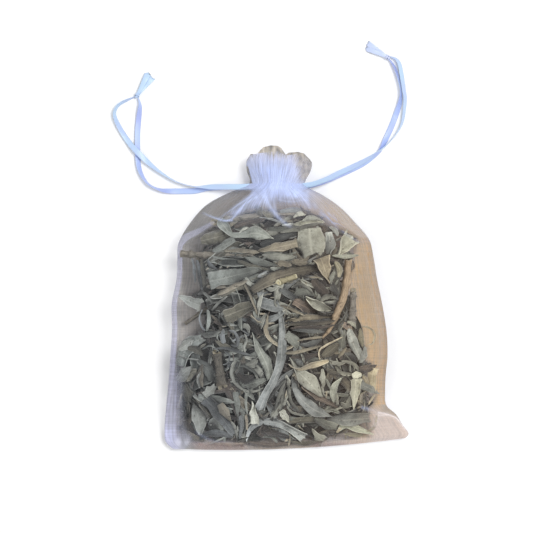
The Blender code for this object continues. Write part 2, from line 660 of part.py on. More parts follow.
LEFT_OUTER = (
    (-24.6, 58.9, 9.0), (-30.0, 58.9, 7.6), (-35.4, 58.9, 5.6), (-43.4, 59.0, 3.6), (-50.9, 59.4, 2.9),
    (-58.0, 61.6, 1.8), (-63.7, 64.3, 0.9), (-68.2, 67.5, 0.8), (-73.8, 72.3, 1.6), (-79.4, 77.4, 3.0),
    (-85.0, 83.6, 1.4), (-89.1, 89.7, 0.8), (-91.6, 94.0, 0.8), (-92.4, 97.4, 0.8), (-91.6, 100.4, 0.8),
    (-89.6, 102.8, 0.8), (-86.4, 104.6, 1.2), (-82.6, 106.2, 1.5),
)
LEFT_INNER = (
    (-24.6, 58.7, 6.6), (-30.0, 58.6, 4.8), (-35.4, 58.2, 3.0), (-42.4, 57.7, 1.2), (-48.8, 56.9, 0.8),
    (-55.9, 56.6, 0.8), (-64.2, 57.0, 0.8), (-70.2, 58.0, 0.8), (-74.9, 60.1, 0.8), (-77.4, 63.3, 0.8),
    (-78.8, 67.9, 0.8), (-79.4, 74.9, 0.8), (-79.6, 81.5, 0.8), (-79.6, 88.0, 0.8), (-79.2, 94.0, 0.8),
    (-78.7, 99.0, 0.8), (-78.3, 103.0, 1.0), (-78.6, 105.2, 1.3),
)
RIGHT_OUTER = (
    (13.4, 60.2, 9.0), (18.0, 61.7, 8.4), (22.5, 63.2, 6.6), (27.5, 65.2, 4.6), (33.5, 67.8, 3.1),
    (39.5, 70.8, 2.8), (45.0, 74.2, 2.6), (50.0, 78.2, 2.2), (54.2, 82.2, 1.5), (57.6, 86.0, 0.9),
    (60.2, 90.0, 0.8), (62.0, 94.4, 0.8), (63.2, 99.6, 0.8), (63.7, 105.7, 0.8), (63.4, 111.6, 0.8),
    (62.6, 117.4, 0.8), (61.6, 122.6, 0.8), (60.4, 126.2, 1.0), (57.8, 128.6, 1.4),
)
RIGHT_INNER = (
    (13.4, 59.6, 6.6), (18.0, 60.9, 5.6), (22.5, 62.3, 3.9), (27.5, 64.3, 2.0), (33.5, 67.0, 0.9),
    (39.5, 70.1, 0.8), (44.6, 73.6, 0.8), (48.6, 77.2, 0.8), (51.8, 81.2, 0.8), (54.6, 86.0, 0.8),
    (56.6, 91.0, 0.8), (58.4, 96.4, 0.8), (60.0, 101.6, 0.8), (60.8, 106.6, 0.8), (60.5, 111.6, 0.8),
    (59.6, 116.4, 0.8), (58.4, 120.2, 0.8), (57.0, 123.0, 1.0), (55.6, 125.0, 1.3),
)
SATIN = (0.70, 0.78, 0.90)


def ribbon(name, route):
    points = [smooth_point(route, k / (RIBBON_STEPS - 1)) for k in range(RIBBON_STEPS)]
    add_part(name, tube_data(name, points, RIBBON_RADIUS, 1), SATIN, 0.3)


ribbon("ribbon_left_outer", LEFT_OUTER)
ribbon("ribbon_left_inner", LEFT_INNER)
ribbon("ribbon_right_outer", RIGHT_OUTER)
ribbon("ribbon_right_inner", RIGHT_INNER)


def knot(name, centre, long_way, tail_ends):
    """A small overhand knot of both strands, with their two flared tails."""
    mesh = bmesh.new()
    turn = Matrix.Rotation(math.radians(long_way), 4, "Z")
    shape = Matrix.Diagonal((*(half_size * MM for half_size in KNOT_HALF_SIZE), 1.0))
    place = Matrix.Translation(Vector(centre) * MM)
    bmesh.ops.create_uvsphere(mesh, u_segments=10, v_segments=6, radius=1.0, matrix=place @ turn @ shape)
    lump = bpy.data.meshes.new(name + "_lump")
    mesh.to_mesh(lump)
    mesh.free()
    pieces = [bpy.data.objects.new(name + "_lump", lump)]
    for number, end in enumerate(tail_ends):
        strip = bmesh.new()
        bmesh.ops.create_grid(strip, x_segments=4, y_segments=2, size=1.0)
        start = Vector(centre)
        run = Vector(end) - start
        beside = Vector((-run.y, run.x, 0)).normalized()
        for vertex in strip.verts:
            share = (vertex.co.x + 1) / 2
            half_width = TAIL_HALF_WIDTH[0] + (TAIL_HALF_WIDTH[1] - TAIL_HALF_WIDTH[0]) * share
            point = start + run * share + beside * vertex.co.y * half_width
            point.z += TAIL_RISE * math.sin(math.pi * share)
            vertex.co = point * MM
        data = bpy.data.meshes.new(f"{name}_tail_{number}")
        strip.to_mesh(data)
        strip.free()
        pieces.append(closed_copy(f"{name}_tail_{number}", data, True))
    return joined(name, pieces, SATIN)


knot("knot_left", (-79.9, 108.2, 1.6), 70, ((-74.7, 119.4, 1.0), (-70.9, 116.6, 1.0)))
knot("knot_right", (55.0, 127.8, 1.6), 150, ((42.9, 136.2, 1.0), (42.6, 131.4, 1.0)))
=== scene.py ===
"""A sheer drawstring pouch of dried sage, lying on its back and seen from straight above."""

import math
import random

import bpy
import numpy as np
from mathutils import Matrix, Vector, noise
from mathutils.bvhtree import BVHTree


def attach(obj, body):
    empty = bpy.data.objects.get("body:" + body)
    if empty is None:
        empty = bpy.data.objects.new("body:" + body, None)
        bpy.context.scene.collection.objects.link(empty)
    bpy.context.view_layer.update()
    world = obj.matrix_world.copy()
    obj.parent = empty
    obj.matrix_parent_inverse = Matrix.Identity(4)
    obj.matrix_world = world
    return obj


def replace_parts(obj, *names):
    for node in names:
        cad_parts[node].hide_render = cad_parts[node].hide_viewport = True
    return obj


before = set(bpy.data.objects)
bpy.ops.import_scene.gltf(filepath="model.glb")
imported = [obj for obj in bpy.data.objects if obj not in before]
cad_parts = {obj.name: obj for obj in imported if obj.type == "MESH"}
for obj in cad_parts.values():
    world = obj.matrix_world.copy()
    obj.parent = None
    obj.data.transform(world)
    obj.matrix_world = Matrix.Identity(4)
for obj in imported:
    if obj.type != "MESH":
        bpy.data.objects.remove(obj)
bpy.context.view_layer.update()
scene = bpy.context.scene


# Camera
# It looks straight down from far above, so that the deep middle of the pouch and the ribbons on the
# floor keep one scale: 533 pixels take in 284 millimetres at the height of the pouch's side seams.
MM = 0.001
PIXELS_ACROSS = 533
PIXEL_MM = 0.533
VIEW_CENTRE_MM = (-10.7, 16.4)
SEAM_HEIGHT_MM = 10.0
CAMERA_HEIGHT = 2.2
SENSOR_MM = 36.0

lens = bpy.data.cameras.new("camera_above")
lens.sensor_width = SENSOR_MM
lens.lens = SENSOR_MM * (CAMERA_HEIGHT - SEAM_HEIGHT_MM * MM) / (PIXELS_ACROSS * PIXEL_MM * MM)
camera = bpy.data.objects.new("camera_above", lens)
camera.location = (VIEW_CENTRE_MM[0] * MM, VIEW_CENTRE_MM[1] * MM, CAMERA_HEIGHT)
scene.collection.objects.link(camera)
scene.camera = camera


# Satin ribbons
# Two loops of 3 mm polyester satin ribbon draw the neck shut. Each leaves it on its own side as two
# strands, which lie on the floor, turn on edge where they bend, and end in a knot with two tails.
RIBBON_WIDTH = 3.0
RIBBON_HALF_THICKNESS = 0.12
RIBBON_RINGS = 180
RIBBON_SIDES = 12
RIBBON_REST_DROP = 0.35
PINCHED = 0.45
TURN_REACH = 6
TAIL_HALF_THICKNESS = 0.11


def along_spine(spine, shares):
    """Points at these shares of a smooth curve through the spine's points."""
    points = np.array(spine, float)
    last = len(points) - 1
    place = np.clip(shares, 0.0, 1.0) * last
    start = np.minimum(place.astype(int), last - 1)
    t = (place - start)[:, None]
    before = points[np.maximum(start - 1, 0)]
    here = points[start]
    there = points[start + 1]
    after = points[np.minimum(start + 2, last)]
    slope = there - before
    bend = 2 * before - 5 * here + 4 * there - after
    swing = 3 * here - before - 3 * there + after
    return 0.5 * (2 * here + slope * t + bend * t**2 + swing * t**3)


def run_along(points):
    """How far along a line of points each one lies."""
    return np.concatenate([[0.0], np.cumsum(np.linalg.norm(np.diff(points, axis=0), axis=1))])


def even_points(spine, count):
    """Points spaced evenly along the smooth curve through a spine."""
    fine = along_spine(spine, np.linspace(0, 1, 12 * len(spine)))
    run = run_along(fine)
    places = np.linspace(0, run[-1], count)
    return np.column_stack([np.interp(places, run, fine[:, axis]) for axis in range(3)]), run[-1]


def unit(vectors):
    return vectors / np.maximum(np.linalg.norm(vectors, axis=-1, keepdims=True), 1e-9)


def headings(points):
    return unit(np.gradient(points, axis=0))


def feed(tree, socket, value):
    """Gives a socket another node's output or a value of its own; a colour is given without its alpha."""
    if isinstance(value, bpy.types.NodeSocket):
        tree.links.new(value, socket)
    elif socket.type == "RGBA":
        socket.default_value = (*value, 1.0)
    else:
        socket.default_value = value


def new_node(tree, kind, inputs=None, **settings):
    """A shader node with its settings; inputs holds values, or other nodes' outputs, by name or number."""
    made = tree.nodes.new("ShaderNode" + kind)
    for name, value in settings.items():
        setattr(made, name, value)
    for name, value in (inputs or {}).items():
        feed(tree, made.inputs[name], value)
    return made


def reckon(tree, operation, first, second=0.0, third=0.0):
    """The output of one Math node."""
    return new_node(tree, "Math", {0: first, 1: second, 2: third}, operation=operation).outputs[0]


def ranged(tree, value, low, high, start=0.0, end=1.0, form="LINEAR"):
    """The output of one Map Range node, which takes low and high to start and end."""
    inputs = {0: value, 1: low, 2: high, 3: start, 4: end}
    return new_node(tree, "MapRange", inputs, interpolation_type=form).outputs[0]


def noise_at(tree, place, scale, detail, roughness=0.5):
    """The output of one Noise node."""
    inputs = {"Vector": place, "Scale": scale, "Detail": detail, "Roughness": roughness}
    return new_node(tree, "TexNoise", inputs).outputs[0]


def times(tree, first, second):
    """Two colours or places multiplied with each other."""
    return new_node(tree, "VectorMath", {0: first, 1: second}, operation="MULTIPLY").outputs[0]


def scaled(tree, colour, factor):
    """A colour made lighter or darker."""
    return new_node(tree, "VectorMath", {0: colour, 3: factor}, operation="SCALE").outputs[0]


def blended(tree, share, first, second):
    """The output of one colour mix."""
    return new_node(tree, "Mix", {0: share, 6: first, 7: second}, data_type="RGBA").outputs[2]


def noted(tree, name, output="Vector"):
    """What the mesh's points keep for the shader under a name."""
    return new_node(tree, "Attribute", attribute_name=name).outputs[output]


def new_group(name, inputs, outputs):
    """An empty shader node group with named inputs and outputs, and its two end nodes."""
    group = bpy.data.node_groups.new(name, "ShaderNodeTree")
    for kind, sockets in (("INPUT", inputs), ("OUTPUT", outputs)):
        for label, form in sockets:
            group.interface.new_socket(label, in_out=kind, socket_type="NodeSocket" + form)
    return group, group.nodes.new("NodeGroupInput"), group.nodes.new("NodeGroupOutput")


def grouped(tree, group, inputs):
    """The outputs of a node group in a material, with its own values."""
    made = tree.nodes.new("ShaderNodeGroup")
    made.node_tree = group
    for name, value in inputs.items():
        feed(tree, made.inputs[name], value)
    return made.outputs


def new_material(name, constants):
    """A material whose Principled shader still has to be fed, with its tree and its shader's sockets."""
    material = bpy.data.materials.new(name)
    material.use_nodes = True
    tree = material.node_tree
    sockets = tree.nodes["Principled BSDF"].inputs
    for socket, value in constants.items():
        feed(tree, sockets[socket], value)
    return material, tree, sockets


def raised(tree, sockets, height, strength, distance):
    """Turns a height into the shader's relief."""
    bump = new_node(tree, "Bump", {"Height": height, "Strength": strength, "Distance": distance})
    tree.links.new(bump.outputs[0], sockets["Normal"])


# Threads of any woven cloth here, from its place across and along the cloth in millimetres
woven, woven_in, woven_out = new_group(
    "woven threads",
    (("Place", "Vector"), ("Pitch", "Float"), ("Grain", "Float"), ("Cross", "Float")),
    (("Threads", "Float"), ("Streaks", "Float")),
)
place_parts = new_node(woven, "SeparateXYZ", {0: woven_in.outputs["Place"]})
thread_waves = []
for axis in ("X", "Y"):
    turns = reckon(woven, "DIVIDE", place_parts.outputs[axis], woven_in.outputs["Pitch"])
    wave = reckon(woven, "COSINE", reckon(woven, "MULTIPLY", turns, 2 * math.pi))
    thread_waves.append(reckon(woven, "MULTIPLY_ADD", wave, 0.5, 0.5))
woven.links.new(reckon(woven, "MAXIMUM", *thread_waves), woven_out.inputs["Threads"])
streak_waves = []
for stretch in ((0.9, 0.035, 0.0), (0.05, 0.75, 0.0)):
    streak = noise_at(woven, times(woven, woven_in.outputs["Place"], stretch), 1.0, 3.0, 0.6)
    streak_waves.append(reckon(woven, "SUBTRACT", streak, 0.5))
crossed = reckon(woven, "MULTIPLY_ADD", streak_waves[1], woven_in.outputs["Cross"], streak_waves[0])
woven.links.new(reckon(woven, "MULTIPLY", crossed, woven_in.outputs["Grain"]), woven_out.inputs["Streaks"])


def satin(name, colour, shade):
    """Polyester satin: close lengthwise threads, a soft shine, and a slow change of tint along it."""
    constants = {"Roughness": 0.34, "Sheen Weight": 0.25, "Sheen Roughness": 0.4}
    material, tree, sockets = new_material(name, constants)
    place = noted(tree, "thread_place")
    threads = grouped(tree, woven, {"Place": place, "Pitch": 0.24, "Grain": 0.8, "Cross": 0.3})
    slow_tint = noise_at(tree, times(tree, place, (0.1, 0.045, 0.0)), 1.0, 1.0)
    share = ranged(tree, slow_tint, 0.36, 0.64, form="SMOOTHSTEP")
    tree.links.new(blended(tree, share, colour, shade), sockets["Base Color"])
    raised(tree, sockets, reckon(tree, "ADD", threads["Threads"], threads["Streaks"]), 0.25, 0.00004)
    return material


# One ribbon in three colours, with a slow tint along each: partly its two faces, partly painted reflection of
# its sheen where it twists.
SATIN_CYAN = satin("satin_cyan", (0.47, 0.63, 0.83), (0.46, 0.57, 0.82))
SATIN_PERIWINKLE = satin("satin_periwinkle", (0.38, 0.45, 0.79), (0.43, 0.55, 0.83))
SATIN_PALE = satin("satin_pale", (0.52, 0.61, 0.83), (0.58, 0.61, 0.82))

ATTRIBUTE_FIELDS = {"FLOAT_VECTOR": "vector", "FLOAT_COLOR": "color", "FLOAT": "value"}


def note(data, name, form, values):
    """Keeps values for the shader at a mesh's points."""
    layer = data.attributes.new(name, form, "POINT")
    layer.data.foreach_set(ATTRIBUTE_FIELDS[form], np.asarray(values, np.float32).ravel())


def add_piece(name, points, faces, material, places, place_name="thread_place"):
    """A smooth mesh from points in millimetres that rides on the part."""
    data = bpy.data.meshes.new(name)
    data.from_pydata((np.asarray(points, float) * MM).tolist(), [], faces)
    note(data, place_name, "FLOAT_VECTOR", places)
    data.materials.append(material)
    data.shade_smooth()
    piece = bpy.data.objects.new(name, data)
    scene.collection.objects.link(piece)
    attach(piece, "root")
    return piece


def ring_faces(rings, count):
    """The faces between rings of count points each, with those that close the last ring to the first."""
    index = np.arange(rings * count).reshape(rings, count)
    ahead = np.roll(index, -1, axis=0)
    corners = (index, np.roll(index, -1, axis=1), np.roll(ahead, -1, axis=1), ahead)
    return np.stack(corners, axis=-1).reshape(-1, 4).tolist()


def loft(rings):
    """Points and faces of a closed body through rings of equal size, with a face on each end."""
    count = len(rings[0])
    total = len(rings) * count
    faces = ring_faces(len(rings), count)[:-count]
    faces.append(list(reversed(range(count))))
    faces.append(list(range(total - count, total)))
    return np.concatenate(rings), faces


def ribbon_rings(centres, edges, half_width, half_thickness):
    """Flat oval rings round a ribbon's centres; edges points from each centre to the ribbon's edge."""
    faces_up = unit(np.cross(headings(centres), edges))
    angles = np.linspace(0, 2 * math.pi, RIBBON_SIDES, endpoint=False)
    wide = np.sign(np.cos(angles)) * np.abs(np.cos(angles)) ** 0.6
    across = edges[:, None, :] * (wide * np.reshape(half_width, (-1, 1)))[:, :, None]
    through = faces_up[:, None, :] * (np.sin(angles) * half_thickness)[None, :, None]
    return centres[:, None, :] + across + through, wide


def ribbon(name, node, route, turns, material):
    """One strand of ribbon; turns gives how far it stands on edge, in degrees, at shares of its length."""
    centres, length = even_points(route, RIBBON_RINGS)
    shares = np.linspace(0, 1, RIBBON_RINGS)
    angle = np.radians(np.interp(shares, *zip(*turns)))
    window = np.ones(2 * TURN_REACH + 1) / (2 * TURN_REACH + 1)
    angle = np.convolve(np.pad(angle, TURN_REACH, mode="edge"), window, mode="valid")
    lying = centres[:, 2] - RIBBON_REST_DROP
    half_width = RIBBON_WIDTH / 2 * np.interp(shares, (0, 0.95, 1), (1, 1, PINCHED))
    standing = half_width * np.abs(np.sin(angle)) + RIBBON_HALF_THICKNESS + 0.1
    centres[:, 2] = np.maximum(lying, standing)
    heading = headings(centres)
    level = unit(np.cross([0.0, 0.0, 1.0], heading))
    upright = unit(np.cross(heading, level))
    edges = level * np.cos(angle)[:, None] + upright * np.sin(angle)[:, None]
    rings, wide = ribbon_rings(centres, edges, half_width, RIBBON_HALF_THICKNESS)
    points, faces = loft(list(rings))
    along = np.repeat(shares * length, RIBBON_SIDES)
    across = np.tile(wide * RIBBON_WIDTH / 2, RIBBON_RINGS)
    places = np.column_stack([across, along, np.zeros_like(along)])
    piece = add_piece(name, points, faces, material, places)
    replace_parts(piece, node)


# half width and half thickness of the knotted band, and how far its crossings reach out and down
KNOT_BAND = (0.85, 0.3)
KNOT_REACH = (0.62, 0.75)
TAIL_RINGS = 16


def knot(name, node, centre, long_way, tails, material):
    """An overhand knot: the ribbon's crumpled band crosses itself three times, and two tails flare out."""
    turn = math.radians(long_way)
    angles = np.linspace(0, 2 * math.pi, 97)[:-1]
    lengthwise = KNOT_REACH[0] * (np.sin(angles) + 2 * np.sin(2 * angles)) / 1.5
    crosswise = KNOT_REACH[0] * (np.cos(angles) - 2 * np.cos(2 * angles)) / 2.0
    band = np.column_stack([
        centre[0] + lengthwise * math.cos(turn) - crosswise * math.sin(turn),
        centre[1] + lengthwise * math.sin(turn) + crosswise * math.cos(turn),
        centre[2] - KNOT_REACH[1] * np.sin(3 * angles),
    ])
    heading = unit(np.roll(band, -1, axis=0) - np.roll(band, 1, axis=0))
    outward = unit(band - np.array(centre))
    edges = unit(np.cross(heading, outward))
    around = np.linspace(0, 2 * math.pi, 10, endpoint=False)
    ripple = 1 + 0.15 * np.sin(5 * angles)
    rings = (
        band[:, None, :]
        + edges[:, None, :] * (np.cos(around)[None, :] * (KNOT_BAND[0] * ripple)[:, None])[:, :, None]
        + np.cross(heading, edges)[:, None, :] * (np.sin(around) * KNOT_BAND[1])[None, :, None]
    )
    points = [rings.reshape(-1, 3)]
    faces = ring_faces(len(rings), len(around))
    places = [np.zeros((len(points[0]), 3))]
    for number, (end, start_width, end_width, lift) in enumerate(tails):
        shares = np.linspace(0, 1, TAIL_RINGS)
        start = np.array(centre)
        centres = start + (np.array(end) - start) * shares[:, None]
        centres[:, 2] += lift * np.sin(math.pi * shares)
        tail_heading = headings(centres)
        level = unit(np.cross([0.0, 0.0, 1.0], tail_heading))
        half_width = start_width + (end_width - start_width) * shares**1.3
        wavy = 0.18 * np.sin(shares * 9 + number)
        centres[:, 2] += wavy
        tail_rings, wide = ribbon_rings(centres, level, half_width, TAIL_HALF_THICKNESS)
        tail_rings[-1] += tail_heading[-1] * (0.7 * np.sin(4.0 * wide + number))[:, None]
        tail_points, tail_faces = loft(list(tail_rings))
        offset = sum(len(some) for some in points)
        points.append(tail_points)
        faces += [[index + offset for index in face] for face in tail_faces]
        run = np.linalg.norm(np.array(end) - start)
        across = (wide[None, :] * half_width[:, None]).ravel()
        places.append(np.column_stack([across, np.repeat(shares * run, len(wide)), np.zeros(len(across))]))
    piece = add_piece(name, np.concatenate(points), faces, material, np.concatenate(places))
    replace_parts(piece, node)
    return piece


knot_left = knot(
    "tied_knot_left", "knot_left", (-79.8, 107.9, 1.75), 70,
    (((-71.9, 117.4, 0.5), 0.7, 1.7, 0.5), ((-74.1, 119.8, 0.6), 0.8, 1.8, 0.9)), SATIN_CYAN,
)
knot_right = knot(
    "tied_knot_right", "knot_right", (54.0, 128.4, 1.75), 150,
    (((43.5, 135.8, 0.6), 0.8, 1.5, 0.6), ((42.7, 133.2, 0.5), 0.8, 1.6, 0.9)), SATIN_PALE,
)

LEFT_OUTER = (
    (-19, 59.2, 9.6), (-24.6, 58.9, 9), (-30, 58.9, 7.6), (-35.4, 58.9, 5.6), (-43.4, 59, 3.6),
    (-49.4, 59.2, 2.9), (-58.2, 61.5, 1.9), (-65.5, 65.6, 1.7), (-71.9, 70.2, 1.8), (-79.3, 77.1, 3),
    (-84.8, 83.5, 1.4), (-89.4, 90.9, 0.9), (-91.9, 97, 0.9), (-91.2, 101, 0.9), (-88.4, 103.8, 1.1),
    (-82.9, 106.4, 1.5), (-80.6, 107.3, 1.7),
)
LEFT_INNER = (
    (-19, 59, 7.6), (-24.6, 58.7, 6.6), (-30, 59, 4.8), (-35.4, 58.8, 3), (-42.4, 58.3, 1.2),
    (-48.8, 56.9, 0.8), (-54, 56.7, 0.8), (-63, 56.8, 0.8), (-68, 57.6, 0.8), (-72.8, 59.7, 0.9),
    (-75.7, 62.6, 0.9), (-77.9, 66.4, 0.8), (-79.2, 70.9, 0.8), (-79.7, 77.1, 0.8), (-79.7, 88.1, 0.8),
    (-79, 96.4, 0.8), (-78.3, 102.6, 1.1), (-79.3, 106.6, 1.6),
)
RIGHT_OUTER = (
    (8, 59.4, 9.4), (13.4, 60.2, 9), (18, 61.7, 8.4), (22.5, 63.5, 6.8), (27.5, 66, 4.8), (33.5, 68.8, 3.2),
    (39.5, 71.7, 2.6), (45, 74.8, 2.2), (50.4, 78.6, 2), (54.9, 82.7, 1.7), (59, 87.6, 1.4),
    (62, 93.6, 0.9), (63.1, 100.1, 0.8), (63.5, 106.5, 2.2), (62.8, 111.1, 2.4), (61.6, 119.3, 1),
    (60.4, 124.9, 0.9), (58.4, 127.6, 1.1), (55.6, 128.6, 1.5),
)
RIGHT_INNER = (
    (8, 59, 7.4), (13.4, 60, 6.4), (18, 61.3, 5.2), (22.5, 62.9, 3.5), (27.5, 65.1, 1.8), (33.5, 67.7, 0.9),
    (39.5, 70.6, 0.8), (44.8, 73.9, 0.8), (49.6, 77.8, 0.9), (53, 84.3, 0.9), (55.8, 90.6, 0.8),
    (58.1, 96.4, 0.8), (60.5, 103.4, 0.8), (61.3, 109.2, 0.9), (60.6, 114.4, 0.9), (59.2, 119.5, 0.9),
    (57.8, 123.2, 0.9), (56, 126, 1.2), (54.4, 127.6, 1.6),
)
ribbon(
    "satin_left_outer", "ribbon_left_outer", LEFT_OUTER,
    (
        (0, 8), (0.18, 5), (0.235, 50), (0.28, 80), (0.38, 82), (0.46, 68), (0.53, 45), (0.61, 0),
        (0.69, 18), (0.77, 32), (0.84, 50), (0.88, 66), (0.92, 55), (0.97, 68), (1, 70),
    ),
    SATIN_CYAN,
)
ribbon(
    "satin_left_inner", "ribbon_left_inner", LEFT_INNER,
    (
        (0, 8), (0.2, 10), (0.34, 0), (0.42, 15), (0.45, 40), (0.48, 66), (0.53, 72), (0.56, 66), (0.6, 53),
        (0.65, 32), (0.71, 22), (0.82, 20), (0.9, 20), (0.95, 52), (1, 70),
    ),
    SATIN_PERIWINKLE,
)
ribbon(
    "satin_right_outer", "ribbon_right_outer", RIGHT_OUTER,
    (
        (0, 20), (0.1, 34), (0.18, 26), (0.26, 22), (0.35, 36), (0.43, 68), (0.5, 80), (0.57, 80),
        (0.63, 62), (0.7, 54), (0.8, 48), (0.88, 40), (0.94, 46), (1, 62),
    ),
    SATIN_CYAN,
)
ribbon(
    "satin_right_inner", "ribbon_right_inner", RIGHT_INNER,
    (
        (0, 8), (0.16, 5), (0.36, 5), (0.43, 50), (0.47, 64), (0.53, 22), (0.6, 0), (0.66, 0), (0.73, 30),
        (0.79, 66), (0.84, 68), (0.9, 60), (1, 64),
    ),
    SATIN_PERIWINKLE,
)


# Pouch cloth
# The bag is two panels of sheer organza sewn together at the sides and the bottom. The front swells
# over the herb, both gather into the neck, and above it they fan out into a short frill.
PANEL_ROWS = ((0, 0), (44, 3), (134, 11), (290, 20))
PANEL_COLUMNS = 240
CASING_BULGE = 1.3
FRILL_FAN = 0.45
NECK_ROW = 16
ROUND_ROWS = 4
BOTTOM_SAG = 2.8
SAG_ROWS = 5
HALF_EDGE = 0.6
CLOTH_INSET = 0.25
NECK_CENTRE = (-5.6, 59.3, 7.6)

# half the width of a panel and the length of one of its rows, for the threads' places, and how wide the
# cloth reads from the left and from the right seam
HALF_PANEL = 65.0
ROW_LENGTH = 9.0
LEFT_SPAN = 118.0
RIGHT_SPAN = 115.0

# left x and y, right x and y, then the heights of the sides, the front's middle and the back's middle
POUCH_ROWS = np.array((
    (-60.8, -81.0, 63.4, -75.4, 3.0, 3.6, 2.4),
    (-64.6, -77.2, 65.2, -72.8, 3.2, 7.0, 0.7),
    (-65.2, -71.0, 62.1, -68.3, 4.5, 13.0, 0.2),
    (-64.8, -64.3, 58.4, -62.5, 6.0, 17.5, 0.0),
    (-64.2, -57.6, 53.2, -57.4, 7.5, 23.0, 0.0),
    (-63.4, -49.5, 52.6, -49.0, 9.0, 28.5, 0.0),
    (-62.6, -40.9, 52.9, -40.9, 10.0, 33.0, 0.0),
    (-61.8, -29.5, 53.8, -31.0, 11.0, 36.5, 0.0),
    (-61.0, -17.4, 53.3, -18.5, 11.5, 38.5, 0.0),
    (-61.2, -3.6, 51.2, -5.0, 11.5, 38.5, 0.0),
    (-58.6, 9.8, 48.2, 9.8, 11.0, 37.5, 0.0),
    (-58.2, 20.0, 46.4, 21.0, 10.5, 35.5, 0.0),
    (-57.6, 28.9, 44.0, 30.8, 10.0, 32.0, 0.0),
    (-51.5, 39.5, 36.9, 39.5, 9.5, 27.0, 0.2),
    (-43.1, 48.9, 28.5, 48.1, 8.8, 21.5, 0.8),
    (-32.0, 55.2, 19.5, 54.3, 8.0, 16.0, 1.8),
    (-21.6, 59.4, 10.4, 59.2, 7.5, 12.4, 2.8),
    (-19.6, 62.4, 10.2, 62.4, 7.5, 12.8, 2.8),
    (-21.2, 67.2, 12.6, 66.8, 7.5, 14.0, 2.2),
    (-21.4, 71.8, 13.6, 71.2, 7.5, 15.5, 1.8),
    (-19.6, 74.0, 11.4, 74.0, 7.5, 16.2, 1.6),
))
LAST_ROW = len(POUCH_ROWS) - 1
RIPPLES = np.interp(
    np.arange(LAST_ROW + 1), (0, 10, 12, 14, 15, 16, 17, 19, 20), (0, 0.1, 0.5, 1.2, 1.4, 1.0, 1.1, 1.7, 2.0)
)


def value_noise(points, size, seed=0.0):
    """Smooth noise from -1 to 1 at places in millimetres, with lumps of about this size."""
    flat = np.asarray(points, float).reshape(-1, 3) / size + seed
    return np.array([noise.noise(Vector(place)) for place in flat]).reshape(np.shape(points)[:-1])


def line_distance(x, y, line):
    """How far each place lies from a smooth line in plan, and at what share of it."""
    line = along_spine(line, np.linspace(0, 1, 28))
    nearest = np.full(x.shape, np.inf)
    share = np.zeros(x.shape)
    for k in range(len(line) - 1):
        run = line[k + 1] - line[k]
        along = np.clip(((x - line[k][0]) * run[0] + (y - line[k][1]) * run[1]) / (run @ run), 0, 1)
        distance = np.hypot(x - line[k][0] - along * run[0], y - line[k][1] - along * run[1])
        closer = distance < nearest
        nearest = np.where(closer, distance, nearest)
        share = np.where(closer, (k + along) / (len(line) - 1), share)
    return nearest, share


# The mouth's edges in plan, as the frill's lobes leave them
FRONT_RIM = (
    (-21, 75.6), (-17, 76.4), (-10, 77.2), (-5.2, 77.8), (-1.6, 76.2), (1, 75.6), (5.6, 76.4), (11.4, 73.6),
)
BACK_RIM = (
    (-20.6, 75.4), (-18.8, 76.6), (-15.8, 76.4), (-14.2, 78.4), (-12.4, 80.2), (-8.6, 81.2), (-4.8, 81),
    (-2.8, 79.8), (-1.4, 77.6), (-0.4, 76.2), (1.2, 77.3), (6.2, 77.7), (9.4, 76.8), (11.4, 74.6),
)

# The fold round the corner at the lower right, and the doubled band up the left shoulder, in plan
EAR_ARC = (
    (49, -61.6), (52.2, -62), (54.8, -62.8), (57.6, -63.9), (59.6, -65.5), (61.4, -67.7), (63.4, -70.6),
)
SHOULDER_BAND = ((-58.9, 26.4), (-53.9, 31.6), (-46.4, 35.4), (-39.6, 39.4))

# Folds pressed into the front cloth: route in plan, half width at its start and end, how much denser
# they are, and how high
FRONT_FOLDS = (
    (((-12.6, 54.6), (-10.4, 50), (-6.4, 44.8), (-2.2, 40.6), (1.8, 37.6)), 1.8, 0.8, 0.34, 0.9),
    (((-11.8, 54.6), (-8.8, 48.8), (-5.6, 43.6), (-0.8, 38.8), (2.4, 37.2)), 0.5, 0.4, 0.3, 0.6),
    (((-17, 55.2), (-22, 51.8), (-28, 47.6), (-35.6, 42.1)), 0.5, 0.45, 0.36, 0.6),
    (
        (
            (-16.4, 53.4), (-21.4, 50.3), (-25.2, 46.4), (-28, 42.6), (-30.9, 40.8), (-33.9, 40.7),
            (-39.4, 42.6), (-44.7, 45),
        ),
        0.55, 0.4, 0.48, 0.7,
    ),
    (((-29, 40.7), (-33.9, 41), (-39.4, 42.8), (-44.7, 45)), 0.42, 0.36, 0.5, 0.3),
    (((-4.2, 52), (0.4, 50.9), (5.2, 50.9), (8.6, 51.8), (11.2, 51.4)), 0.5, 0.4, 0.16, 0.6),
    (((-7.4, 53), (-6.4, 48.6), (-5.6, 44.2)), 0.9, 0.5, 0.22, 0.5),
    (((29.4, 35), (34.6, 31.6), (39.4, 29.5), (44.8, 30.5)), 0.5, 0.5, 0.12, 0.5),
    (((19.4, 44.1), (23.6, 40.6), (27.2, 36.2)), 0.5, 0.35, 0.22, 0.3),
    (((22.2, 45), (24.4, 42.6), (26.2, 40.8)), 0.4, 0.3, 0.2, 0.3),
    (((25, 43.8), (26.4, 41.6), (27.2, 39.8)), 0.4, 0.3, 0.2, 0.3),
    (((24, 39.6), (27.6, 38.8), (32.4, 36.2)), 0.45, 0.3, 0.2, 0.3),
    (EAR_ARC, 0.42, 0.36, 0.8, 0.5),
    (((48.8, -62.9), (51.6, -63), (54.4, -63.2)), 0.3, 0.25, 0.4, 0.2),
    (((40.3, -58.6), (43.4, -59.4), (47.7, -60.4)), 0.8, 0.6, 0.3, 0.4),
    (((49.3, -61.5), (48.2, -66), (46, -69.7)), 0.7, 0.7, 0.12, 0.4),
    (((-48, -72), (-40, -76.4), (-28, -78.6)), 0.7, 0.6, 0.12, 0.4),
)

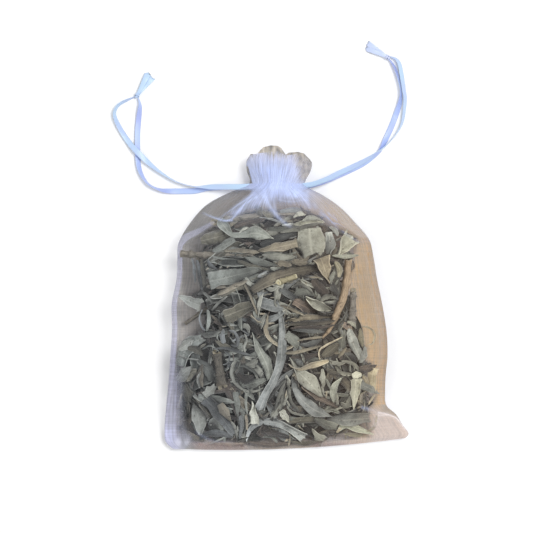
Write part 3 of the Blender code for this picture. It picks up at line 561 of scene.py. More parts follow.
# Places where the front cloth lies doubled or bunched: centre, half sizes, slant in degrees, how much
# denser, and how lilac rather than white it looks
FRONT_BUNCHES = (
    ((-16.0, 50.5), (9.0, 4.5), 30, 0.24, 1.0),
    ((-26.0, 45.6), (7.0, 2.6), 30, 0.22, 1.0),
    ((2.0, 55.0), (12.0, 3.4), -8, 0.30, 1.0),
    ((11.0, 50.5), (9.0, 4.0), -30, 0.20, 1.0),
    ((20.0, 43.5), (8.0, 3.4), -42, 0.18, 0.7),
    ((26.4, 38.0), (4.4, 2.0), -42, 0.12, 0.4),
    ((-62.0, -73.0), (3.2, 4.8), 0, 0.66, 0.5),
    ((-57.0, -78.2), (4.6, 3.0), -20, 0.62, 0.1),
    ((-53.2, -75.4), (3.0, 4.6), 10, 0.56, 0.1),
    ((-47.4, -78.4), (3.6, 2.0), -10, 0.22, 0.0),
    ((54.0, -70.5), (11.0, 5.5), -18, 0.22, 0.0),
    ((62.3, -74.0), (2.4, 2.6), 0, 0.30, 0.0),
    ((41.0, -63.6), (4.2, 3.4), 0, 0.14, 0.0),
)
FOLD_SOFTNESS = 1.5
FOLD_DENSITY = 0.63
FAN_POINT = (-7.4, 46.0)
BUNCHED_WHITE = np.array((0.62, 0.62, 0.74))
LILAC = np.array((0.56, 0.65, 0.97))
FRILL_LILAC = np.array((0.63, 0.64, 0.82))
SEAM_LILAC = np.array((0.56, 0.57, 0.78))
ROSE = np.array((0.70, 0.59, 0.54))
EAR_TAN = np.array((0.48, 0.37, 0.26))
EAR_WHITE = np.array((0.84, 0.76, 0.73))
WARM_LIGHT_SHIFT = np.array((0.08, 0.0, -0.06))
EDGE_TINT = np.array((1.07, 0.96, 0.78))
HEM_ROSE = np.array((0.42, 0.30, 0.28))
SHOULDER_ROSE = np.array((0.59, 0.55, 0.56))
HAZE = np.array((0.33, 0.32, 0.32))
SHADED_TAN = np.array((0.335, 0.31, 0.285))
LIT_WARM_TAN = np.array((0.78, 0.535, 0.275))
FRILL_TAN = np.array((0.345, 0.30, 0.235))
LITTER_AND_SHADE_BROWN = np.array((0.14, 0.115, 0.10))


def ramp(value, start, run):
    """0 up to a start, 1 from a run beyond it, and even between them; a run below 0 goes the other way."""
    return np.clip((value - start) / run, 0, 1)


def toward(colour, target, share):
    """A colour drawn to another one by a share at each place."""
    return colour + (target - colour) * share[..., None]


def pleat_wave(across, row):
    """The fold pattern across the gathered cloth: it keeps to the threads, and fans out above the neck."""
    across = (across + 0.25) / (1 + FRILL_FAN * ramp(row, NECK_ROW, LAST_ROW - NECK_ROW))
    wave = 0
    for folds, strength in ((9, 0.85), (21, 0.6), (47, 0.3)):
        places = np.stack([across * folds, 0.16 * row, 0 * row], axis=-1)
        wave = wave + strength * value_noise(places, 1.0, folds)
    return wave


def gathered(row):
    """How strongly the cloth is pleated at a row: fully at the neck, and fading below the shoulders."""
    return np.interp(row, (9.0, 11.5, 13.5, 15.0, 16.0, 18.0, 20.0), (0.0, 0.10, 0.40, 0.85, 1.0, 0.85, 0.70))


def panel_surface(is_front):
    """One panel's points in millimetres, with each point's row and place across it."""
    steps, ends = zip(*PANEL_ROWS)
    rows = np.interp(np.arange(steps[-1] + 1), steps, ends)
    angles = np.linspace(0, math.pi, PANEL_COLUMNS + 1)
    across = -np.cos(angles) * 0.35 + np.linspace(-1, 1, PANEL_COLUMNS + 1) * 0.65
    measures = along_spine(POUCH_ROWS, rows / LAST_ROW)
    left_x, left_y, right_x, right_y, edge, crown, base = (column[:, None] for column in measures.T)
    row = rows[:, None] + 0 * across[None, :]
    s = across[None, :] + 0 * rows[:, None]
    roundness = ramp(row, NECK_ROW - ROUND_ROWS, ROUND_ROWS)
    sag = BOTTOM_SAG * np.maximum(0, 1 - row / SAG_ROWS) * (1 - s**2)
    x = left_x + (right_x - left_x) * (s + 1) / 2
    y = left_y + (right_y - left_y) * (s + 1) / 2 - sag
    casing = CASING_BULGE * np.exp(-(((y - NECK_CENTRE[1]) / 1.9) ** 2)) * (1 - s**4)
    top = POUCH_ROWS[-1, 1]
    if is_front:
        y = y + (np.interp(x, *zip(*FRONT_RIM)) - top) * ramp(row, LAST_ROW - 1, 1)
        rise = np.maximum(0, 1 - np.abs(s) ** (2.2 - 0.2 * roundness)) ** (0.62 - 0.12 * roundness)
        z = edge + HALF_EDGE + (crown - edge - HALF_EDGE) * rise + casing
    else:
        y = y + (np.interp(x, *zip(*BACK_RIM)) - top) * ramp(row, LAST_ROW - 2, 2)
        fall = np.maximum(0, 1 - np.abs(s) ** (4 - 2 * roundness)) ** (0.6 - 0.1 * roundness)
        depth = (edge - HALF_EDGE - base) * (1.1 - 0.1 * roundness)
        z = np.maximum(base, edge - HALF_EDGE - depth * fall) - casing
    side_fade = np.sqrt(np.maximum(0, 1 - s**2))
    ripple = np.interp(row, np.arange(LAST_ROW + 1), RIPPLES)
    room = ripple if is_front else np.minimum(ripple, np.maximum(base - 0.2, 0.0))
    phase = 0.0 if is_front else 1.7
    z = z + room * 0.8 * gathered(row) * pleat_wave(s + 0.1 * phase, row) * side_fade
    z = z + (-CLOTH_INSET if is_front else CLOTH_INSET) * side_fade
    return np.stack([x, y, z], axis=-1), row, s


def grid_faces(rows, columns, turned=False):
    """The faces of a sheet of points, turned to look the other way where asked."""
    index = np.arange(rows * columns).reshape(rows, columns)
    corners = [index[:-1, :-1], index[:-1, 1:], index[1:, 1:], index[1:, :-1]]
    if turned:
        corners[1], corners[3] = corners[3], corners[1]
    return np.stack(corners, axis=-1).reshape(-1, 4)


def panel_piece(name, colour_density, material, shape):
    """One panel as a mesh, with its cloth's colour, density and place for the shader."""
    points, row, s = shape
    colour, density = colour_density
    places = np.stack([s * HALF_PANEL, row * ROW_LENGTH, 0 * s], axis=-1)
    faces = grid_faces(*row.shape).tolist()
    piece = add_piece(name, points.reshape(-1, 3), faces, material, places)
    note(piece.data, "cloth_colour", "FLOAT_COLOR", np.append(colour, np.ones((*row.shape, 1)), axis=-1))
    note(piece.data, "cloth_density", "FLOAT", density)
    return piece


def organza(name, roughness, thread_depth, outside=None):
    """Sheer organza, denser where it is gathered or sewn; its outer face may look thinner and paler."""
    material, tree, sockets = new_material(name, {"Roughness": roughness, "Sheen Weight": 0.2})
    place = noted(tree, "thread_place")
    cover = noted(tree, "cloth_density", "Fac")
    along = new_node(tree, "SeparateXYZ", {0: place}).outputs["Y"]
    weft = ranged(tree, along, 95.0, 135.0, 0.6, 0.05)
    threads = grouped(tree, woven, {"Place": place, "Pitch": 0.62, "Grain": 0.95, "Cross": weft})
    lighter = reckon(tree, "MULTIPLY_ADD", threads["Streaks"], 0.9, 1.0)
    base = scaled(tree, noted(tree, "cloth_colour", "Color"), lighter)
    if outside:
        tint, thinner = outside
        facing = new_node(tree, "NewGeometry").outputs["Backfacing"]
        base = blended(tree, facing, base, tuple(tint))
        cover = reckon(tree, "MULTIPLY", cover, reckon(tree, "MULTIPLY_ADD", facing, thinner - 1.0, 1.0))
    tree.links.new(base, sockets["Base Color"])
    mesh_open = reckon(tree, "MULTIPLY_ADD", threads["Threads"], thread_depth, 1.0 - thread_depth * 0.6)
    slubs = reckon(tree, "MULTIPLY_ADD", threads["Streaks"], 0.7, mesh_open)
    alpha = new_node(tree, "Math", {0: cover, 1: slubs}, operation="MULTIPLY", use_clamp=True)
    tree.links.new(alpha.outputs[0], sockets["Alpha"])
    raised(tree, sockets, threads["Threads"], 0.3, 0.00006)
    return material


def corner_ear(x, y):
    """How much each place belongs to the corner at the lower right, and how much lies beyond its fold."""
    beyond = ramp(y - np.interp(x, *zip(*EAR_ARC)), 0, 0.7) * ramp(x, 49, 3) * (y < -57)
    return ramp(x, 42, 6) * ramp(y, -57, -5), beyond


def front_finish(points, row, s):
    """Colour and density of the front panel: lilac haze at the neck, folds, seams, and a rosy hem."""
    x, y = points[..., 0], points[..., 1]
    fan = (x - FAN_POINT[0]) / np.maximum(y - FAN_POINT[1], 4.0)

    def fanned(across, along, seed):
        """Noise in strands that spread from the fan's point."""
        return value_noise(np.stack([fan * across, y * along, 0 * y], axis=-1), 1.0, seed)

    patches = value_noise(points * (1.0, 0.5, 0.0), 3.0, 7.0)
    strands = 0.6 * fanned(13, 0.06, 4.0) + 0.4 * fanned(34, 0.09, 4.0)
    broad_pleats = fanned(9, 0, 6.0) * ramp(y, 62, 6)
    neck = np.interp(y, (36, 45, 51, 56, 60, 68, 73, 78), (0.0, 0.11, 0.30, 0.54, 0.74, 0.78, 0.66, 0.46))
    neck = neck * (1 - np.where(s < 0, 0.12, 0.45) * np.abs(s) ** 3)
    neck = neck * (1 + 0.10 * pleat_wave(s, row) + 0.24 * strands + 0.26 * broad_pleats + 0.10 * patches)
    neck = neck * (1 - 0.75 * ramp(y - 5.0 * strands, 74.8, 4.5))
    low_lobe = ramp(x - 0.26 * (73.5 - y), -21.2, -0.6) * ramp(y, 70.2, -0.8) * (y > 60.5)
    neck = neck * (1 - 0.85 * low_lobe)
    shoulder_side = ramp(y - 0.705 * (x + 35.6), 42.1, 2.5) * ramp(x, -17, -3)
    neck = neck * (1 - 0.75 * shoulder_side * ramp(y, 58.5, -2))
    frill_open = ramp(x + 0.12 * (y - 60) - 3.0 * strands, 5.6, 4.0) * ramp(y, 60, 4)
    taut = np.exp(-(((x + 6) / 40) ** 2) - ((y + 7) / 14) ** 2)
    density = 0.045 - 0.028 * taut + 0.016 * ramp(x, 8, 16) + neck * (1 - 0.74 * frill_open)
    lilac = np.clip(neck * 2.2, 0, 1) * (1 - 0.35 * frill_open)
    white = 0 * x
    for (cx, cy), (wide, tall), slant, strength, how_lilac in FRONT_BUNCHES:
        turn = math.radians(slant)
        u = ((x - cx) * math.cos(turn) + (y - cy) * math.sin(turn)) / wide
        v = (-(x - cx) * math.sin(turn) + (y - cy) * math.cos(turn)) / tall
        soft = np.exp(-(u * u + v * v) * 1.2) * (0.85 + 0.5 * patches)
        density = density + strength * soft
        lilac = np.maximum(lilac, np.clip(soft * 1.2, 0, 1) * how_lilac)
        white = np.maximum(white, np.clip(soft * 1.2, 0, 1) * (1 - how_lilac))
    for line, start_width, end_width, strength, _ in FRONT_FOLDS:
        distance, share = line_distance(x, y, line)
        width = FOLD_SOFTNESS * (start_width + (end_width - start_width) * share)
        ridge = np.exp(-((distance / width) ** 2)) * (1 - 0.5 * share**3)
        density = density + FOLD_DENSITY * strength * ridge
        lilac = np.maximum(lilac, 0.9 * ridge)
    faded = ramp(y, -36, -20)
    seam = (3.6 - (s + 1) / 2 * LEFT_SPAN) / (0.7 + 2.2 * faded) + 0.4 * faded
    seam = np.clip(seam, 0, 1) * ramp(y, 31, -3)
    band_distance, band_share = line_distance(x, y, SHOULDER_BAND)
    band = ramp(band_distance + 1.5 * band_share, 3.0, -0.9) * (1 - 0.4 * band_share)
    right_seam = ramp((1 - s) / 2 * RIGHT_SPAN, 1.1, -0.5) * ramp(y, 57, -5)
    left_haze = ramp(x, -53.0, -6.5) * ramp(y, -30, -16) * (1 - seam)
    veil_edge = np.maximum(51.2 - 0.71 * (x - 9.9), 30.2)
    shoulder = ramp(y, veil_edge, 2) * ramp(x, 9, 6) * (1 - lilac)
    hem = ramp(y, -76.2, -2.2) * ramp(x, -53, 6) * (1 + 0.5 * patches)
    hem = hem * (1 - 0.9 * ramp(x, -24, 6) * ramp(x, 16, -6))
    ear, beyond = corner_ear(x, y)
    density = density + 0.44 * np.maximum(seam, band) + 0.14 * right_seam
    density = density + 0.46 * left_haze * (1 + 0.5 * patches) + 0.22 * shoulder
    density = density + 0.26 * hem * (1 - ear) + 0.10 * ear * (1 - beyond)
    shaded_lilac = LILAC * (1 - 0.15 * ramp(x, -8, -8) * ramp(y, 50, 6))[..., None]
    paler = 0.5 * ramp(y, 68, 8) + 0.45 * ramp(x, -2, 8) * ramp(y, 60, 5)
    # Painted light: the haze warms to the right and cools to the left, as warm light falls from the right.
    colour = HAZE + WARM_LIGHT_SHIFT * np.clip((x + 4) / 28, -0.5, 1)[..., None]
    for target, share in (
        (toward(shaded_lilac, FRILL_LILAC, paler), lilac),
        (SEAM_LILAC * 0.8, left_haze),
        (BUNCHED_WHITE, white * (1 - lilac) * (x < 0)),
        (SHOULDER_ROSE, shoulder),
        (SEAM_LILAC, np.maximum(seam, band)),
        (HEM_ROSE, np.clip(hem, 0, 1)),
        (ROSE, ear * 0.8 * (1 - beyond)),
        (EAR_WHITE, ear * lilac),
    ):
        colour = toward(colour, target, share)
    return colour, np.clip(density, 0.02, 0.96)


HERB_OUTLINE = (
    (-43.0, 34.0), (-38.0, 40.5), (-28.0, 43.5), (-13.0, 47.5), (8.0, 47.5), (19.0, 43.5), (28.0, 38.0),
    (38.5, 31.5), (36.0, 18.0), (33.0, 4.0), (37.2, 2.5), (37.2, -14.5), (41.0, -16.5), (41.6, -25.5),
    (43.4, -27.5), (42.6, -33.0), (47.4, -36.6), (43.4, -41.0), (42.8, -47.0), (49.0, -51.2), (47.4, -56.0),
    (44.6, -60.0), (45.0, -68.0), (46.0, -73.0), (31.0, -76.4), (13.0, -79.0), (3.0, -80.5),
    (-20.0, -80.5), (-40.0, -79.5), (-50.0, -78.0), (-56.0, -75.0), (-58.5, -67.0), (-58.0, -54.0),
    (-59.0, -39.0), (-57.0, -26.0), (-48.0, -17.5), (-43.5, -13.0), (-46.0, -2.0), (-57.0, 1.0),
    (-46.5, 4.0), (-47.0, 22.0), (-44.0, 27.0),
)


def inside_herb(x, y):
    """Which places in plan lie inside the herb's outline."""
    is_inside = np.zeros(np.shape(x), bool)
    for (x0, y0), (x1, y1) in zip(HERB_OUTLINE, HERB_OUTLINE[1:] + HERB_OUTLINE[:1]):
        if y0 != y1:
            crossing = (x1 - x0) * (y - y0) / (y1 - y0) + x0
            is_inside ^= ((y0 > y) != (y1 > y)) & (x < crossing)
    return is_inside


def back_finish(points, row, s):
    """Colour and density of the back panel: it lies flat on the floor, in its own shade, and reads warm."""
    x, y = points[..., 0], points[..., 1]
    mottle = value_noise(points * (1.0, 0.25, 0.0), 9.0, 3.0)
    blotch = value_noise(points * (1.0, 0.6, 0.0), 1.9, 9.0)[..., None]
    # From left to right the tan goes from its shaded to its lit tone: painted shade and painted light over
    # the panel's own warm tan.
    colour = toward(SHADED_TAN, LIT_WARM_TAN, np.clip((x + 45) / 85 + 0.12 * mottle, 0, 1))
    lower_down = np.interp(y, (-58, -42, 8, 44), (0.9, 1.1, 0.9, 1.05))
    colour = colour * (1 + (lower_down - 1) * ramp(x, 14, 14))[..., None]
    beside_edge = ramp((1 - s) / 2 * RIGHT_SPAN, 4.5, -2) * ramp(y, 44, -8)
    colour = colour * (1 + (EDGE_TINT - 1) * beside_edge[..., None])
    # Painted light: the left middle is made lighter to offset the shadow that the heap of herb casts there.
    lightened_in_heap_shadow = ramp(x, -42, -4) * ramp(y, 16, -8) * ramp(y, -36, 8)
    colour = colour * (1 + 0.55 * lightened_in_heap_shadow)[..., None]
    left_shoulder = ramp(x, -16, -10) * ramp(y, 26, 8)
    colour = colour * (1 - 0.48 * left_shoulder)[..., None]
    ear, beyond = corner_ear(x, y)
    # Painted shadow of the herb on the back panel, softened at its edge; the same brown also stands for the
    # litter along the hem.
    offsets = ((0, 0), (1.3, 0), (-1.3, 0), (0, 1.3), (0, -1.3))
    shade = 0.8 * sum(inside_herb(x + right, y + up).astype(float) for right, up in offsets) / len(offsets)
    hem = ramp(y, -76, -3) * ramp(x, 36, -10) * ramp(x, -56, 6)
    for target, share in (
        (FRILL_TAN * (1 + 0.95 * blotch), ramp(y, 56, 6)),
        (ROSE, ear * 0.85),
        (EAR_TAN, beyond),
        (ROSE * 0.75, ramp(x, 6, 14) * ramp(y, -73.0, -2.5) * 0.75),
        (LITTER_AND_SHADE_BROWN * (1 + 0.5 * blotch), np.maximum(shade, 0.7 * hem)),
    ):
        colour = toward(colour, target, share)
    return colour, np.clip(0.80 + 0.05 * mottle + 0.1 * ramp(row, LAST_ROW - 0.18, 0.1), 0, 0.97)


front_shape = panel_surface(True)
back_shape = panel_surface(False)
front_points, front_row, front_side = front_shape
for fold, start_width, end_width, _, height in FRONT_FOLDS:
    fold_distance, fold_share = line_distance(front_points[..., 0], front_points[..., 1], fold)
    fold_width = 1.2 * (start_width + (end_width - start_width) * fold_share)
    front_points[..., 2] += 0.6 * height * np.exp(-((fold_distance / fold_width) ** 2))
slack = value_noise(front_points * (1.0, 1.0, 0.4), 13.0, 2.0) + 0.5 * value_noise(front_points, 6.0, 5.0)
slack_share = np.interp(front_row, (0, 2, 14), (0.2, 1, 0.3))
front_points[..., 2] -= 0.35 * (1 + slack) * (1 - front_side**2) * slack_share
sheer_organza = organza("organza_sheer", 0.55, 0.30)
pouch_front = panel_piece("organza_front", front_finish(*front_shape), sheer_organza, front_shape)
shaded_organza = organza("organza_in_shade", 0.65, 0.12, (SEAM_LILAC, 0.35))
panel_piece("organza_back", back_finish(*back_shape), shaded_organza, back_shape)
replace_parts(pouch_front, "organza_pouch")


# Drawstring in its casing
# Where the ribbon runs round the gathered neck it is held in a stitched channel between the panels'
# doubled cloth, so it shows only as a soft pale band under them.
NECK_RING = (15.0, 4.8)
CASING_RINGS = 120
CASING_SIDES = 12
CASING_HALF_WIDTH = 1.4
CASING_HALF_THICKNESS = 0.14
CASING_INSET = 0.3

ring_angles = np.linspace(0, 2 * math.pi, CASING_RINGS, endpoint=False)
band_angles = np.linspace(0, 2 * math.pi, CASING_SIDES, endpoint=False)
ring_cos, ring_sin = np.cos(ring_angles), np.sin(ring_angles)
round_neck = np.column_stack([ring_cos * NECK_RING[0], 0 * ring_angles, ring_sin * NECK_RING[1]])
outward = unit(np.column_stack([ring_cos / NECK_RING[0], 0 * ring_angles, ring_sin / NECK_RING[1]]))
crumple = 0.22 * np.sin(ring_angles * 17) + 0.14 * np.sin(ring_angles * 41 + 1)
band_centre = np.array(NECK_CENTRE) + round_neck + outward * (crumple[:, None] * 0.5 - CASING_INSET)
band_rings = (
    band_centre[:, None, :]
    + np.array((0.0, 1.0, 0.0)) * (np.cos(band_angles) * CASING_HALF_WIDTH)[None, :, None]
    + outward[:, None, :] * (np.sin(band_angles)[None, :] * CASING_HALF_THICKNESS)[:, :, None]
)
band_faces = [[a, d, c, b] for a, b, c, d in ring_faces(CASING_RINGS, CASING_SIDES)]
band_run = np.repeat(ring_angles * NECK_RING[0], CASING_SIDES)
band_across = np.tile(np.cos(band_angles) * CASING_HALF_WIDTH, CASING_RINGS)
band_places = np.column_stack([band_across, band_run, 0 * band_run])
drawstring = add_piece(
    "satin_in_casing", band_rings.reshape(-1, 3), band_faces, SATIN_PALE, band_places
)
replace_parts(drawstring, "drawstring_in_casing")


# Herb heights
# The leaves lie between the two linings of the pouch. Each leaf with a solid of its own takes its
# height from that solid, and the broken leaf that fills the gaps is laid on what is already there.
CELL = 0.8
LEFT_END, RIGHT_END, LOWER_END, UPPER_END = -66.0, 60.0, -84.0, 60.0
COLUMNS = int((RIGHT_END - LEFT_END) / CELL) + 1
LINES = int((UPPER_END - LOWER_END) / CELL) + 1
UNDER_CLOTH = 0.9
HERB_NODES = [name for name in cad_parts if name.startswith(("leaf_", "stem_", "sprig_"))]


def tree_of(names):
    """One search tree over the meshes of some CAD nodes, in millimetres."""
    points, corners = [], []
    for name in names:
        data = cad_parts[name].data
        offset = len(points)
        points += [vertex.co / MM for vertex in data.vertices]
        corners += [[offset + index for index in polygon.vertices] for polygon in data.polygons]
    return BVHTree.FromPolygons(points, corners)


def surface_height(tree, x, y, direction):
    hit = tree.ray_cast(Vector((x, y, -200.0 * direction)), Vector((0.0, 0.0, direction)))[0]
    return None if hit is None else hit.z


front_tree = BVHTree.FromPolygons(
    [tuple(point) for point in front_points.reshape(-1, 3)],
    [list(polygon.vertices) for polygon in pouch_front.data.polygons],
)
herb_tree = tree_of(HERB_NODES)
ceiling = np.zeros((COLUMNS, LINES))
pile = np.zeros((COLUMNS, LINES))
for column in range(COLUMNS):
    for line in range(LINES):
        cell_x, cell_y = LEFT_END + column * CELL, LOWER_END + line * CELL
        over = surface_height(front_tree, cell_x, cell_y, -1.0)
        under = surface_height(herb_tree, cell_x, cell_y, -1.0)
        ceiling[column, line] = (over if over is not None else 6.0) - UNDER_CLOTH
        pile[column, line] = under if under is not None else 1.0


def softened(heights, reach):
    """The same heights with their steps turned into slopes."""
    for axis in (0, 1):
        total = sum(np.roll(heights, shift, axis=axis) for shift in range(-reach, reach + 1))
        heights = total / (2 * reach + 1)
    return heights


def height_over(heights, x, y):
    """Heights at places in millimetres, blended from the four cells round each."""
    column = np.clip((x - LEFT_END) / CELL, 0, COLUMNS - 1.001)
    line = np.clip((y - LOWER_END) / CELL, 0, LINES - 1.001)
    i, j = column.astype(int), line.astype(int)
    a, b = column - i, line - j
    near = heights[i, j] * (1 - a) + heights[i + 1, j] * a
    far = heights[i, j + 1] * (1 - a) + heights[i + 1, j + 1] * a
    return near * (1 - b) + far * b


# Dried leaves
# White sage dries to stiff, felted blades that curl along the midrib and break across. They are grey
# green, paler on the ribs and rims, and turn tan and brown where they are old or folded.
LEAF_STEPS = 26
LEAF_ACROSS = 10
BLADE_THICKNESS = 0.32
CLEAR_OF_LEAF = 0.6
POINTED_BELOW = 3.5
ROLL_HEIGHT = 5.0
EXTRA_CURL = 0.75
PLEAT_HEIGHT = 0.55
SUNLIT_DEPTH = 1.2
DARKER_PER_MM = 0.48
SIDE_SHADE = 0.45
BEND_SHADE = 0.22
COOL_SHADE_TINT = (0.98, 1.0, 1.14)
WARM_LIGHT_TINT = (1.07, 1.0, 0.885)
SHEET_SMOOTHING = 12
ABOVE_LINING = 0.35
SEEN_DEPTH = 3.0

felted, felted_in, felted_out = new_group(
    "felted leaf",
    (("Place", "Vector"), ("Leaf", "Color"), ("Shade", "Color"), ("Rim", "Color"), ("Spots", "Float")),
    (("Color", "Color"), ("Height", "Float")),
)
leaf_place = new_node(felted, "SeparateXYZ", {0: felted_in.outputs["Place"]})
leaf_along, leaf_side, leaf_tone = (leaf_place.outputs[axis] for axis in "XYZ")
world_place = new_node(felted, "NewGeometry").outputs["Position"]
off_midrib = reckon(felted, "ABSOLUTE", leaf_side)
vein_parts = {
    0: reckon(felted, "MULTIPLY_ADD", off_midrib, -3.2, leaf_along),
    1: reckon(felted, "MULTIPLY", leaf_side, 0.6),
    2: leaf_tone,
}
vein_place = new_node(felted, "CombineXYZ", vein_parts).outputs[0]
vein_lines = ranged(felted, noise_at(felted, vein_place, 0.9, 3.0, 0.65), 0.40, 0.62, form="SMOOTHSTEP")
age = ranged(felted, noise_at(felted, world_place, 210.0, 4.0, 0.62), 0.38, 0.68, form="SMOOTHSTEP")
spots = ranged(felted, noise_at(felted, world_place, 620.0, 1.0), 0.68, 0.74)
midrib = ranged(felted, off_midrib, 0.03, 0.11, 1.0, 0.0)
leaf_colour = felted_in.outputs["Leaf"]
for mask, strength, target in (
    (age, 0.8, felted_in.outputs["Shade"]),
    (vein_lines, 0.22, felted_in.outputs["Shade"]),
    (midrib, 0.45, felted_in.outputs["Rim"]),
    # The pale rims are partly the felted underside rolled up and partly painted highlight along the leaves'
    # edges.
    (ranged(felted, off_midrib, 0.80, 0.97), 0.5, felted_in.outputs["Rim"]),
    (spots, felted_in.outputs["Spots"], (0.05, 0.04, 0.03)),
):
    leaf_colour = blended(felted, reckon(felted, "MULTIPLY", mask, strength), leaf_colour, target)
felt = noise_at(felted, world_place, 1500.0, 2.0, 0.7)
# The tone sets each leaf's brightness; it holds its own colour together with painted light and shade.
plain_brightness = reckon(felted, "MAXIMUM", reckon(felted, "MULTIPLY_ADD", leaf_tone, 0.5, 0.70), 0.12)
uneven = reckon(felted, "MULTIPLY_ADD", reckon(felted, "SUBTRACT", felt, 0.5), 0.7, 1.0)
leaf_colour = scaled(felted, leaf_colour, reckon(felted, "MULTIPLY", plain_brightness, uneven))
# Painted light: leaves on the left are tinted cool as in shade, those on the right warm as in the key light.
rightward = new_node(felted, "SeparateXYZ", {0: world_place}).outputs["X"]
painted_light_tint = blended(felted, ranged(felted, rightward, -0.05, 0.04), COOL_SHADE_TINT, WARM_LIGHT_TINT)
felted.links.new(times(felted, leaf_colour, painted_light_tint), felted_out.inputs["Color"])
grooves = reckon(
    felted, "ADD", reckon(felted, "MULTIPLY", vein_lines, -0.7), reckon(felted, "MULTIPLY", midrib, -0.8)
)
felted.links.new(reckon(felted, "MULTIPLY_ADD", felt, 0.5, grooves), felted_out.inputs["Height"])


def leaf_finish(name, leaf, shade, rim):
    """A dried leaf's material in one of its colours."""
    constants = {"Roughness": 0.82, "Sheen Weight": 0.3, "Sheen Roughness": 0.6}
    material, tree, sockets = new_material(name, constants)
    values = {"Place": noted(tree, "leaf_place"), "Leaf": leaf, "Shade": shade, "Rim": rim, "Spots": 0.7}
    made = grouped(tree, felted, values)
    tree.links.new(made["Color"], sockets["Base Color"])
    raised(tree, sockets, made["Height"], 0.7, 0.0002)
    return material


# each leaf colour's blade, shaded and rim tones
LEAF_TONES = (
    ("mint", (0.345, 0.370, 0.315), (0.15, 0.16, 0.13), (0.52, 0.54, 0.45)),
    ("pale", (0.465, 0.482, 0.405), (0.255, 0.257, 0.205), (0.655, 0.665, 0.56)),
    ("blue_grey", (0.345, 0.372, 0.355), (0.14, 0.155, 0.148), (0.55, 0.57, 0.52)),
    ("olive", (0.185, 0.175, 0.125), (0.07, 0.068, 0.048), (0.36, 0.34, 0.26)),
    ("tan", (0.266, 0.240, 0.170), (0.126, 0.106, 0.078), (0.45, 0.405, 0.295)),
    ("straw", (0.50, 0.455, 0.33), (0.26, 0.225, 0.155), (0.64, 0.60, 0.46)),
    ("brown", (0.11, 0.088, 0.068), (0.04, 0.033, 0.028), (0.26, 0.205, 0.155)),
)
LEAF_FINISHES = {colour: leaf_finish("felted_" + colour, *tones) for colour, *tones in LEAF_TONES}


def blade_widths(widths, shares):
    """The width along a leaf from those at even steps from its foot to its tip."""
    line = [(width, 0.0, 0.0) for width in widths]
    return np.maximum(along_spine(line, shares)[:, 0], 0.5)


def blade_plan(spine, widths, curl, twist, chance, steps=LEAF_STEPS, across=LEAF_ACROSS, ragged=0.08):
    """A leaf's grid in plan in millimetres, its curl's and its rolled rims' lift, and its places."""
    shares = np.linspace(0, 1, steps + 1)
    sides = np.sin(np.linspace(-1, 1, across + 1) * math.pi / 2)
    centre = along_spine(spine, shares)[:, :2]
    ahead = along_spine(spine, np.minimum(shares + 0.02, 1))[:, :2]
    behind = along_spine(spine, np.maximum(shares - 0.02, 0))[:, :2]
    heading = unit(ahead - behind)
    half_curl = math.radians(max(abs(curl), 2.0)) / 2
    draws = [chance.uniform(0, 100) for _ in range(3)]

    def side_noise(pitch, seed):
        """Noise along the leaf, with its own draw for each side."""
        return np.array([
            [noise.noise(Vector((share * pitch, draws[int(side > 0)], seed))) for side in sides]
            for share in shares
        ])

    wobble = 1 + ragged * 2 * side_noise(5, 0.0) * np.abs(sides)[None, :]
    ends = np.ones(steps + 1)
    for width, run_in in ((widths[0], shares), (widths[-1], 1 - shares)):
        if width < POINTED_BELOW:
            ends *= np.clip(run_in / 0.13, 0.02, 1) ** (0.75 - 0.12 * width)
    radius = (blade_widths(widths, shares) * ends)[:, None] / 2 / half_curl * wobble
    out = radius * np.sin(half_curl * sides)[None, :]
    up = -math.copysign(1.0, curl) * radius * (1 - np.cos(half_curl * sides))[None, :]
    rim = ramp(np.abs(sides), 0.45, 0.55) ** 2
    rolls = ROLL_HEIGHT * side_noise(1.8, 5.0) * rim[None, :] * min(max(widths) / 6, 1.2)
    out = out - np.sign(sides)[None, :] * np.abs(rolls) * 0.45 * ends[:, None]
    turn = np.radians(twist) * (shares - 0.5)[:, None]
    sideways = out * np.cos(turn) - up * np.sin(turn)
    lift = out * np.sin(turn) + up * np.cos(turn)
    torn = np.array([noise.noise(Vector((side * 2.5, draws[2], 1.0))) for side in sides])
    end_pull = np.exp(-((1 - shares) / 0.05) ** 2)[:, None] * torn[None, :] * 0.3 * widths[-1]
    x = centre[:, :1] - heading[:, 1:] * sideways + heading[:, :1] * end_pull
    y = centre[:, 1:] + heading[:, :1] * sideways + heading[:, 1:] * end_pull
    run = run_along(centre)[:, None] + 0 * x + draws[0]
    places = np.stack([run, sides[None, :] + 0 * x, np.full(x.shape, chance.random())], axis=-1)
    return x, y, lift, rolls, places


def crumpled(x, y, places, widths, chance, crimp=0.35, wrinkle=0.3):
    """The small rises of a dried leaf: crimped rims, a groove along the midrib, and wrinkles."""
    side = places[..., 1]
    waves = chance.uniform(2.5, 5.0)
    left_phase, right_phase = chance.uniform(0, 6), chance.uniform(0, 6)
    along = waves * 2 * np.linspace(0, 1, x.shape[0])[:, None] * math.pi
    rim = np.where(side > 0, np.sin(along + left_phase), np.sin(along + right_phase))
    full = min(max(widths) / 6, 1.2)
    groove = -0.22 * np.exp(-((side / 0.14) ** 2)) * full
    lengthwise = np.stack([side * max(widths) / 2, 0.2 * places[..., 0], 0 * x], axis=-1)
    pleats = PLEAT_HEIGHT * full * value_noise(lengthwise, 1.9, places[0, 0, 0])
    lumps = value_noise(np.stack([x, y, 0 * x], axis=-1), 3.2, places[0, 0, 0])
    return crimp * rim * np.abs(side) ** 3 + groove + pleats + wrinkle * lumps


